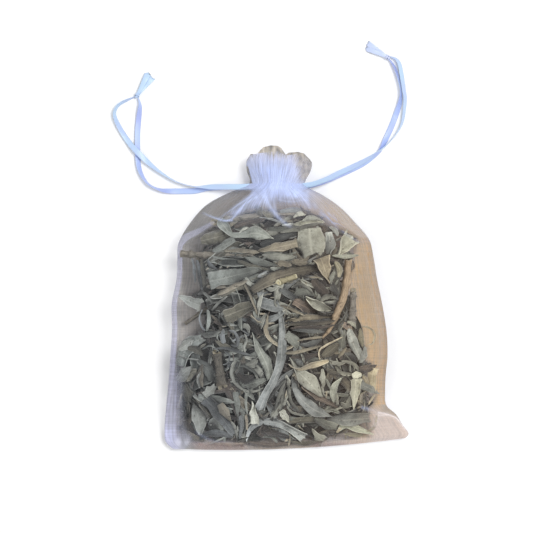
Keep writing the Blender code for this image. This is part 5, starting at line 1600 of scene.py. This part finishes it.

# each one's spine in plan, widths, colour, depth under the cloth, tone in the same seven steps, and its
# curl if it is over the least; each tone holds its own colour together with painted light and shade
SMALL_LEAVES = (
    # under the gathers
    (((-28, 37.2), (-20.4, 40), (-11.4, 41.6)), (2.4, 3.8, 2.4), "brown", 1.6, 0.2),
    (((-16.8, 48.6), (-14.8, 46.4), (-13.2, 43.4)), (2.6, 4.2, 2.4), "olive", 1, 0.2),
    (((-13.1, 45.6), (-9.8, 44), (-5.4, 43.6)), (2.6, 3.6, 2.4), "olive", 1.2, 0.9),
    (((-3.6, 45.6), (3, 46.5), (9.8, 45.2)), (2.4, 3.4, 2.2), "blue_grey", 1.4, 0.2),
    (((17.6, 39.4), (19.8, 37), (20.6, 33.8)), (3, 4.2, 2.6), "brown", 2.2, 0.2),
    (((22.8, 37.4), (25.4, 35.8), (27, 32.6)), (1.6, 3, 1.6), "blue_grey", 1.8, 0.9, 70),
    (((3.4, 42.4), (6.8, 44.2), (10.4, 44.6)), (0.8, 2.8, 1.6), "pale", 1.2, 0.9),
    (((7.2, 48.2), (8.6, 46.4), (10.4, 44.2)), (0.9, 1.3, 0.9), "brown", 1, 0.2),
    (((8.4, 40.6), (13.2, 42.4), (18.6, 40.8)), (1.6, 3, 1.4), "mint", 1.2, 0.9, 80),
    (((-9.9, 36.4), (-0.8, 36), (7.2, 38.4)), (2, 3.4, 1.6), "mint", 2.4, -0.9),
    (((-2.6, 38.4), (3.6, 38.6), (9.6, 39)), (1.2, 2, 1.2), "blue_grey", 1.8, 2.4, 70),
    (((-3.6, 34.4), (4.6, 35.8), (12, 38.2), (18.4, 39.6)), (1.6, 2.4, 2.2, 1), "pale", 1.4, -0.9, 90),
    (((-3.6, 31.8), (2.8, 32.8), (8.4, 34.6)), (1.8, 2.8, 1.6), "blue_grey", 1.8, -0.4, 70),
    (((-25.2, 34), (-22.8, 36.2), (-20.4, 36.8)), (0.8, 1.7, 0.9), "pale", 0.9, 0.9),
    # upper half
    (((-39.4, 24.4), (-34.4, 27), (-27.5, 30.8)), (1.8, 4.2, 4.4), "mint", 1.6, -0.4),
    (((-22.3, 21.4), (-14.5, 18.8), (-5, 17)), (1, 4.2, 1.2), "mint", 1.4, -0.4, 70),
    (((-26, 19.4), (-18.6, 16.6), (-8.8, 14.6)), (2.4, 3.2, 1.6), "olive", 2, -0.4),
    (((-13.1, 22.5), (-4.5, 21.5), (4.5, 21.5)), (1.4, 4.4, 1.4), "pale", 1.4, -0.4),
    (((-4.8, 18), (-1.6, 18), (2.4, 17)), (2.8, 3.4, 2.4), "tan", 1.2, 0.2),
    (((2.4, 19), (6.4, 18.4), (11, 18.6)), (2.6, 3.6, 2), "tan", 1.6, -0.4),
    (((-36.5, 1.4), (-29, 5.4), (-21, 9)), (2, 2.8, 2), "straw", 1.2, -0.4),
    (((-45.2, 20.2), (-44, 12.6), (-43.6, 5.6)), (1.6, 3.2, 1.8), "olive", 1.6, -0.4, 70),
    (((-41.8, 20), (-40.2, 17), (-36.6, 14.8)), (1.2, 2.4, 1.2), "blue_grey", 1.6, -0.9, 70),
    (((-47.6, 20), (-46.2, 12.4), (-45, 4)), (1.8, 3, 1.6), "blue_grey", 2, -0.9),
    (((-50.2, 21), (-49, 14.6), (-48.4, 8)), (1.2, 1.8, 1.2), "blue_grey", 1.6, -0.4),
    (((24, 22.2), (31, 21.6), (38.4, 22.4)), (0.9, 2.2, 0.9), "mint", 1.2, 0.9),
    (((35.4, 18.6), (35.6, 16.6), (35, 14.8)), (0.8, 1.5, 0.7), "brown", 1, 0.9),
    (((25.4, 19), (28, 14.6), (27.4, 10.6)), (2.6, 3.8, 2), "olive", 2.6, 2.4),
    (((25.2, 13.6), (23.6, 10.6), (23.4, 7)), (1.2, 2.6, 1), "mint", 1.2, -0.4),
    (((22.6, 9), (24.8, 5.2), (27, 1.4)), (2.2, 4.6, 2.4), "blue_grey", 2, -0.9, 70),
    (((13.8, 9.6), (17.4, 5), (22, 2)), (3.4, 5.6, 3), "brown", 2.8, -0.4),
    (((-3.6, 4.4), (0.8, 1.4), (5.6, -1.4)), (3, 4.6, 2.4), "blue_grey", 2.4, -0.9, 70),
    (((3.6, 1.2), (9, 3.2), (14.4, 1)), (2.6, 4.8, 2), "mint", 1.8, -0.9, 80),
    (((2.4, 5.2), (6.2, 6.8), (10.2, 5.6), (14, 2.2)), (1.4, 2.6, 2.4, 1), "pale", 1, -0.9, 120),
    (((17.6, -1.6), (20.8, 0.2), (24.4, 0.9)), (1.8, 3.2, 1.4), "pale", 1, -0.9, 90),
    (((-3.4, -4), (3, -6.4), (9.4, -9.4)), (1.2, 2, 1), "straw", 1, -0.4, 80),
    (((-22.2, 7), (-19, 0.6), (-15.4, -9.2)), (1.2, 1.4, 1), "straw", 1.6, -0.4),
    (((-44.2, 3), (-41.6, 0.4), (-39.2, -3.2)), (1, 1.4, 1), "pale", 1.2, -0.9),
    # left side
    (((-21.1, -12.1), (-16.8, -16.4), (-13.1, -19.6)), (5, 5.4, 3), "brown", 3, -0.9),
    (((-41.9, -6.4), (-40.9, -12.2), (-42.4, -17.8)), (1.4, 2.4, 1.2), "mint", 1, 0.2),
    (
        ((-44.6, -6.2), (-46.2, -10.6), (-45, -15.4), (-43, -17.4)), (0.7, 0.9, 0.9, 0.7), "blue_grey", 1.4,
        0.2,
    ),
    (((-46.6, -18.2), (-41, -20.2), (-34.8, -17.6)), (1.4, 2.8, 1.2), "pale", 1.2, -0.9),
    (((-37.6, -22.6), (-33.4, -25.4), (-29.6, -26.6)), (2, 4, 2.4), "olive", 2, 0.2),
    (((-33.4, -16.8), (-34, -20.4), (-33, -24.2)), (1.6, 3.2, 2.4), "blue_grey", 1.2, -0.4),
    (
        ((-30.6, -17.4), (-27.6, -18.2), (-25.8, -21.8), (-26.6, -25.2), (-29.4, -25)), (1, 1.8, 2, 1.8, 1),
        "blue_grey", 1.2, -0.4, 90,
    ),
    (((-23, -14.4), (-20.6, -15.8), (-20, -18.8)), (2.6, 3, 0.8), "pale", 0.9, -0.4),
    (((-22.4, -19), (-21.2, -22.6), (-22.6, -26), (-22, -28.8)), (1, 1.3, 1.5, 0.8), "pale", 1, -0.4),
    (
        ((-38.6, -27.2), (-31.6, -26.8), (-25, -28.6), (-18.8, -30.4)), (0.8, 1.6, 1.8, 0.9), "blue_grey",
        1.2, -0.9,
    ),
    (
        ((-33, -28.2), (-30.2, -30.8), (-31.2, -34.6), (-33.6, -35.6)), (0.6, 0.8, 0.8, 0.6), "blue_grey",
        1.2, -0.9,
    ),
    (((-57.4, -27.8), (-53.6, -25.4), (-49.6, -22.4)), (3, 5.2, 2.4), "pale", 1, 0.2, 80),
    (((-52.4, -26.8), (-48, -27.6), (-44.6, -30.4)), (3, 4.6, 2.4), "olive", 1.2, -0.4, 70),
    (((-57.6, -30.6), (-52.8, -32.4), (-46.4, -33)), (0.9, 1, 0.8), "pale", 1, -0.4),
    (((-58.2, -44.2), (-54.2, -40), (-50.4, -36.8)), (4.4, 6.6, 2.4), "pale", 1, -0.4, 70),
    (((-47.4, -33.6), (-42, -38), (-39.6, -44.6)), (3.4, 6.4, 2.6), "mint", 2.2, -0.9),
    (((-44.8, -35.4), (-46, -41), (-45, -47.4)), (2.2, 4, 2), "tan", 1.6, -0.4, 80),
    (((-45.4, -39), (-47.2, -43.4), (-46, -48)), (0.8, 1.6, 1.2), "pale", 1, -0.4),
    (((-55.6, -51), (-57.6, -59.6), (-56.2, -68)), (1, 1.8, 1.2), "straw", 1.2, -0.4),
    (((-54, -46.4), (-52.6, -51), (-52, -55.6)), (3, 6.4, 4), "olive", 2.4, -0.9),
    (((-26, -40), (-22, -43.6), (-17, -42)), (3.4, 5.4, 3), "brown", 3.4, -0.4),
    (
        ((-26.5, -36.6), (-22.5, -36), (-18.5, -38.4), (-15.2, -41.5)), (0.8, 1.4, 1.4, 0.8), "mint", 2.2,
        -0.9, 70,
    ),
    (((-21.6, -34.8), (-18.6, -35.2), (-15.8, -33)), (2.5, 5.2, 3), "pale", 2.6, -0.4, 90),
    (((-24, -47.2), (-17.6, -45.2), (-10.4, -43.4)), (2.6, 5.6, 2), "mint", 2.2, -0.4),
    (((-43.6, -52.2), (-40.8, -49.6), (-37.8, -46.8)), (4.8, 6, 3.6), "pale", 1, 0.2),
    (((-27, -50), (-26.4, -56.4), (-25.9, -63.6)), (4.2, 3.8, 0.8), "mint", 1.4, -0.4),
    (((-29.6, -66), (-27.6, -69.4), (-26.4, -75.6)), (0.9, 1.8, 0.8), "pale", 1, -0.4),
    (((-35.4, -56.6), (-32.8, -60.8), (-29.4, -66.4)), (4.6, 5.6, 1), "straw", 0.9, -0.9),
    (((-24.4, -62.8), (-24, -68.4), (-25, -75.4)), (2.6, 2.6, 2), "blue_grey", 1.2, -0.4),
    (((-21.6, -62.4), (-21.2, -66.4), (-21, -70.6)), (1.3, 1.4, 1), "tan", 1.2, 1.6),
    (((-55, -66), (-52, -70.6), (-48.6, -73.4)), (3, 4.6, 2.6), "brown", 1.6, -0.9),
    (((-53.6, -71.4), (-49.2, -75), (-44, -76.8)), (1.8, 3.4, 1.8), "tan", 1, -0.4),
    (
        ((-46.4, -76), (-42.4, -73), (-35, -72.8), (-28.6, -75)), (2.4, 4.4, 4.4, 2), "blue_grey", 1.4,
        -0.9, 100,
    ),
    # below the middle
    (((-1.3, -43.5), (-6.1, -49.4), (-10.9, -55.8)), (1, 1.7, 1), "mint", 3.2, -0.9),
    (((-0.3, -43), (-3.5, -50.5), (-6.7, -61.1)), (1, 1.8, 1), "pale", 2.6, -0.9),
    (((-0.8, -44.1), (-1.9, -52.1), (-2.9, -60.1)), (1, 1.6, 1), "pale", 2.4, -0.9),
    (((1, -46), (2, -54.6), (6.4, -60.4)), (1, 1.9, 2.2), "pale", 1.6, -0.9),
    (((0.2, -57.6), (3, -61.2), (9.8, -62.8)), (0.9, 1.5, 1.3), "pale", 1, -0.4),
    (((-2.9, -60.1), (-0.8, -63.3), (1.3, -66.5)), (3.6, 4, 0.8), "pale", 1.2, 0.9),
    (((8, -47), (17, -53.4), (27.4, -58.6)), (2.6, 3.6, 2.2), "brown", 3, 1.6),
    (((15, -64.4), (21, -67.8), (26.8, -69.4)), (3, 5.4, 4.4), "mint", 1.6, -0.4),
    (((13.6, -70), (16.2, -73.8), (19.4, -76.8)), (0.8, 4.8, 7.4), "pale", 1, 0.2),
    (((26.6, -72), (28, -70.8), (29.2, -69.6)), (1, 1.6, 0.8), "straw", 0.8, 0.9),
    (((30.8, -72.8), (35.6, -73.6), (40.8, -73.6)), (1.6, 2.6, 1.2), "olive", 1, 0.9),
    (((-20, -77.4), (-10, -78.8), (2, -78.6)), (1.6, 3, 1.6), "brown", 0.8, 0.9),
    (((-15, -71.6), (-7, -72.6), (2.4, -75.4)), (2, 3.8, 1.6), "brown", 1.6, -0.9),
    (((2.4, -77.2), (10, -78.2), (20, -77)), (1.4, 2.6, 1.4), "olive", 0.8, -0.4),
    (((-38, -78), (-30, -78.6), (-22, -78)), (1, 2, 1.2), "tan", 0.8, 0.9),
    (((1.9, -74.6), (1.6, -77.4), (1.2, -79.6)), (0.8, 1, 0.7), "straw", 0.7, 0.2),
    (((48.2, -62.8), (47.6, -66.4), (46.2, -69.8), (43, -71.4)), (0.8, 1.5, 1.7, 1), "straw", 0.9, 0.2),
    # right side
    (((3, -17), (11, -17.6), (19.6, -18)), (1.4, 2.6, 1.4), "blue_grey", 1.4, -0.9),
    (((0.3, -14.2), (9, -13.4), (18, -13.6), (25.6, -12.2)), (1.4, 2.4, 2.4, 1.6), "tan", 1.2, -0.9, 100),
    (((2, -16.2), (10, -15.4), (18, -15.8), (25, -14.4)), (1.4, 2.2, 2.2, 1.4), "brown", 1.2, -0.4, 100),
    (((-0.4, -19.2), (3.6, -22.4), (5.2, -27)), (4.6, 6.4, 1.8), "mint", 1.2, -0.4),
    (((7, -24.8), (13, -24.4), (18.4, -22.2)), (1.8, 3.6, 1.6), "blue_grey", 1.8, -0.9),
    (((-0.8, -29.4), (7.4, -28.2), (18.2, -25.4)), (1.8, 2.8, 1.4), "straw", 1.2, -0.4, 90),
    (((2, -31.4), (10, -31), (17, -29.4)), (1.6, 3.6, 1.6), "brown", 2.2, -0.4),
    (((18.6, -31), (22.4, -28.6), (27.6, -24.4)), (3, 5.6, 3), "olive", 2.4, -0.4),
    (((5.8, -22.6), (12.6, -21.4), (19, -20.8)), (1, 1.3, 1.2), "straw", 0.9, -0.4),
    (((17.4, -32.8), (17.2, -28), (20.4, -25.4), (29.6, -20.8)), (0.8, 1, 1, 0.8), "straw", 1, 0.9),
    (((31.6, -26.4), (29.6, -29), (27.2, -31.8)), (0.9, 2, 0.9), "straw", 1, -0.4, 70),
    (((7.5, -29.4), (8.6, -31.8), (9.3, -34.6)), (0.8, 1.5, 0.6), "pale", 1, -0.9),
    (((28.8, -13.8), (32.4, -15.2), (34.6, -18.6)), (2.6, 4.2, 2.2), "brown", 1.8, 4),
    (((30.2, -13), (27.4, -16), (28.6, -19.4)), (0.8, 1.1, 0.8), "pale", 0.9, -0.9),
    (((32, -12.6), (34.8, -13.8), (36.4, -15.8)), (1.6, 2.6, 1.4), "pale", 0.8, 0.2, 90),
    (((39, -16.4), (39.4, -21.6), (40.2, -26.4)), (1.4, 3.2, 1.4), "olive", 1.6, 0.9),
    (((41.4, -26), (41, -30.4), (38.6, -34.4)), (1.8, 3.8, 2.2), "blue_grey", 1.4, 0.2),
    (
        ((40.2, -15.2), (44.4, -16.6), (46.8, -20), (45.6, -24.2), (43, -25)), (0.9, 1.1, 1.1, 1.1, 0.9),
        "tan", 1, 1.6,
    ),
    (((20.8, -37.6), (24.2, -39.6), (28.4, -41)), (1.4, 2.6, 1.4), "olive", 1.8, -0.4),
    (((18.9, -37.7), (18.9, -41.9), (19.5, -47.3)), (2, 3.4, 2), "pale", 1.6, 0.2),
    (((29, -42.6), (25.6, -46.8), (24.4, -51.2), (25, -55.8)), (1.4, 4.2, 4.2, 1.6), "mint", 1.2, 0.9),
    (((28.6, -56), (32.2, -57.4), (33.6, -52.4)), (2.4, 4.2, 2), "pale", 1.8, -0.9),
    (((38.4, -37.6), (43, -37.8), (47.8, -36)), (3, 4.4, 1), "brown", 1.4, 0.2),
    (((40.4, -41.6), (42, -43.8), (43.6, -46.6)), (2, 3.8, 1.6), "tan", 1.6, 0.9),
    (((39.4, -46), (44.4, -48.6), (49.4, -51.4)), (5.6, 4.6, 0.8), "blue_grey", 1.2, 0.2),
    (((47, -51.8), (45.2, -54.2), (43.6, -57)), (0.7, 1.1, 0.7), "straw", 0.9, 0.9),
    (((34.8, -42), (37, -41), (39.6, -40.8)), (3.2, 4, 3.2), "pale", 0.7, 1.6),
    (((-33, 24.6), (-24, 24.7), (-14.5, 23.8)), (1.4, 2.6, 1.6), "tan", 1.2, 0.2),
)

gathered_blades = {colour: [] for colour in LEAF_FINISHES}
for small_number, (spine, widths, colour, depth, tone, *curl) in enumerate(SMALL_LEAVES):
    chance = random.Random(4000 + small_number)
    curl = curl[0] if curl else LEAST_CURL
    x, y, lift, rolls, places = blade_plan(spine, widths, curl, chance.uniform(-40, 40), chance, 20, 8)
    places[..., 2] = tone + chance.uniform(-0.15, 0.15)
    z = height_over(softened(ceiling, 3), x, y) - depth + lift + 0.5 * rolls
    covered = height_over(leaf_top, x, y)
    z = np.where(covered > 0, np.maximum(z, covered + 0.4), z) if depth < TOP_DEPTH else tucked_under(x, y, z)
    z = smoothed(z, 2) + crumpled(x, y, places, widths, chance, 0.3, 0.3)
    z = np.clip(z, 0.8, height_over(ceiling, x, y) + 0.2)
    grid = np.stack([x, y, z], axis=-1)
    mark_leaf(grid)
    gathered_blades[colour].append((grid, places))
for colour, blades in gathered_blades.items():
    leaf_piece("small_leaf_" + colour, blades, colour, SEEN_DEPTH)


# Broken leaf between them
# The rest of the herb is loose leaf that has worked into every gap. Each piece is laid in turn where
# the pile is lowest under the cloth, so it fills from the back up as the real bag does.
BROKEN_GROUPS = 3
BROKEN_SEED = 51
SHORT_PIECE = 5

# how many, gap left under the cloth, lengths, widths, curls, how bowed, tone, and the shares of the colours;
# the deeper layers' lower tones and larger shares of olive and brown are partly painted shade
LAYERS = (
    (
        320, 6.5, (14, 30), (4, 8), (60, 150), 0.12, -0.3,
        (("olive", 0.3), ("brown", 0.3), ("tan", 0.16), ("mint", 0.24)),
    ),
    (
        330, 3.2, (15, 32), (4.4, 8.6), (90, 220), 0.13, -0.05,
        (
            ("mint", 0.32), ("blue_grey", 0.16), ("pale", 0.22), ("olive", 0.12), ("tan", 0.12),
            ("brown", 0.06),
        ),
    ),
    (
        150, 1.4, (8, 22), (1.6, 4.8), (100, 250), 0.18, 0.2,
        (("pale", 0.38), ("mint", 0.26), ("blue_grey", 0.12), ("straw", 0.08), ("tan", 0.16)),
    ),
    (
        260, 0.6, (1.2, 5), (0.7, 2.6), (20, 90), 0.1, 0.4,
        (("pale", 0.2), ("straw", 0.14), ("brown", 0.24), ("mint", 0.18), ("olive", 0.24)),
    ),
)


def pick_colour(shares, chance):
    """One of the colours by its share."""
    draw = chance.random()
    for colour, weight in shares:
        draw -= weight
        if draw < 0:
            return colour
    return shares[0][0]


def lean_at(y, chance):
    """The way a piece lies: level in the pouch's upper half, and every way in the lower half."""
    if chance.random() < np.interp(y, (-32, 2), (0.12, 0.94)):
        return math.radians(chance.gauss(4, 17))
    return math.radians(chance.choice((-58, -38, 78, 100, 25)) + chance.gauss(0, 18))


herb_area = inside_herb(*np.meshgrid(
    LEFT_END + CELL * np.arange(COLUMNS), LOWER_END + CELL * np.arange(LINES), indexing="ij"
))
fragments = {}
chance = random.Random(BROKEN_SEED)
for count, gap, lengths, piece_widths, curls, bowed, tone, colour_shares in LAYERS:
    for number in range(count):
        hollow = np.where(herb_area, np.maximum(ceiling - pile - gap, 0.0), 0.0) ** 1.3
        cells = hollow.ravel().cumsum()
        if cells[-1] < 1.0:
            break
        column, line = divmod(int(np.searchsorted(cells, chance.random() * cells[-1])), LINES)
        centre = np.array((LEFT_END + column * CELL, LOWER_END + line * CELL))
        lean = lean_at(centre[1], chance)
        length = chance.uniform(*lengths)
        width = chance.uniform(*piece_widths) * min(1.0, 0.4 + length / 30)
        out = np.array((math.cos(lean), math.sin(lean)))
        bow = np.array((-out[1], out[0])) * chance.gauss(0, bowed) * length
        spine = (centre - out * length / 2, centre + bow, centre + out * length / 2)
        widths = (width * chance.uniform(0.3, 0.9), width, width * chance.uniform(0.1, 0.8))
        curl = chance.choice((-1, -1, 1)) * chance.uniform(*curls)
        fineness = (6, 4) if length < SHORT_PIECE else (14, 8)
        twist = chance.gauss(0, 45)
        x, y, lift, rolls, places = blade_plan(spine, widths, curl, twist, chance, *fineness, 0.12)
        if not inside_herb(x, y).all():
            continue
        bed = height_over(softened(pile, 3), x, y)
        along = (x - centre[0]) * out[0] + (y - centre[1]) * out[1]
        z = bed + 0.5 - lift.min() + lift + 0.5 * rolls + chance.gauss(0, 0.12) * along
        z = np.minimum(z, height_over(ceiling, x, y) - 0.5)
        z = tucked_under(x, y, z)
        z = tucked_under(x, y, smoothed(z, 1) + crumpled(x, y, places, widths, chance, 0.25, 0.3))
        places[..., 2] = tone + chance.uniform(-0.3, 0.3)
        grid = np.stack([x, y, np.maximum(z, 0.8)], axis=-1)
        raise_pile(grid)
        colour = pick_colour(colour_shares, chance)
        fragments.setdefault((colour, number % BROKEN_GROUPS), []).append((grid, places))
for (colour, part), blades in sorted(fragments.items()):
    leaf_piece(f"broken_leaf_{colour}_{part}", blades, colour)


# Floor and light
# A plain pale floor and soft studio light, strongest from the right, as the rims of the leaves show.
FLOOR_HALF = 1.5
floor_corners = [(x * FLOOR_HALF, y * FLOOR_HALF, 0) for x, y in ((-1, -1), (1, -1), (1, 1), (-1, 1))]
floor_data = bpy.data.meshes.new("studio_floor")
floor_data.from_pydata(floor_corners, [], [(0, 1, 2, 3)])
floor = bpy.data.objects.new("studio_floor", floor_data)
scene.collection.objects.link(floor)
floor_look = {"Roughness": 0.9, "Base Color": (0.93, 0.93, 0.93), "Specular IOR Level": 0.1}
floor_data.materials.append(new_material("pale_floor", floor_look)[0])


def soft_light(name, place, size, power):
    """A large square light that faces the pouch."""
    data = bpy.data.lights.new(name, "AREA")
    data.size = size
    data.energy = power
    light = bpy.data.objects.new(name, data)
    light.location = place
    light.rotation_euler = (-Vector(place)).to_track_quat("-Z", "Y").to_euler()
    scene.collection.objects.link(light)


soft_light("key_from_right", (0.6, 0.42, 1.4), 0.6, 16.0)
soft_light("fill_from_left", (-1.0, -0.3, 1.2), 1.2, 6.0)
world = bpy.data.worlds.new("studio_air")
world.use_nodes = True
background = world.node_tree.nodes["Background"]
background.inputs["Color"].default_value = (1.0, 1.0, 1.0, 1.0)
background.inputs["Strength"].default_value = 0.52
scene.world = world
scene.view_settings.view_transform = "Standard"
scene.cycles.transparent_max_bounces = 32
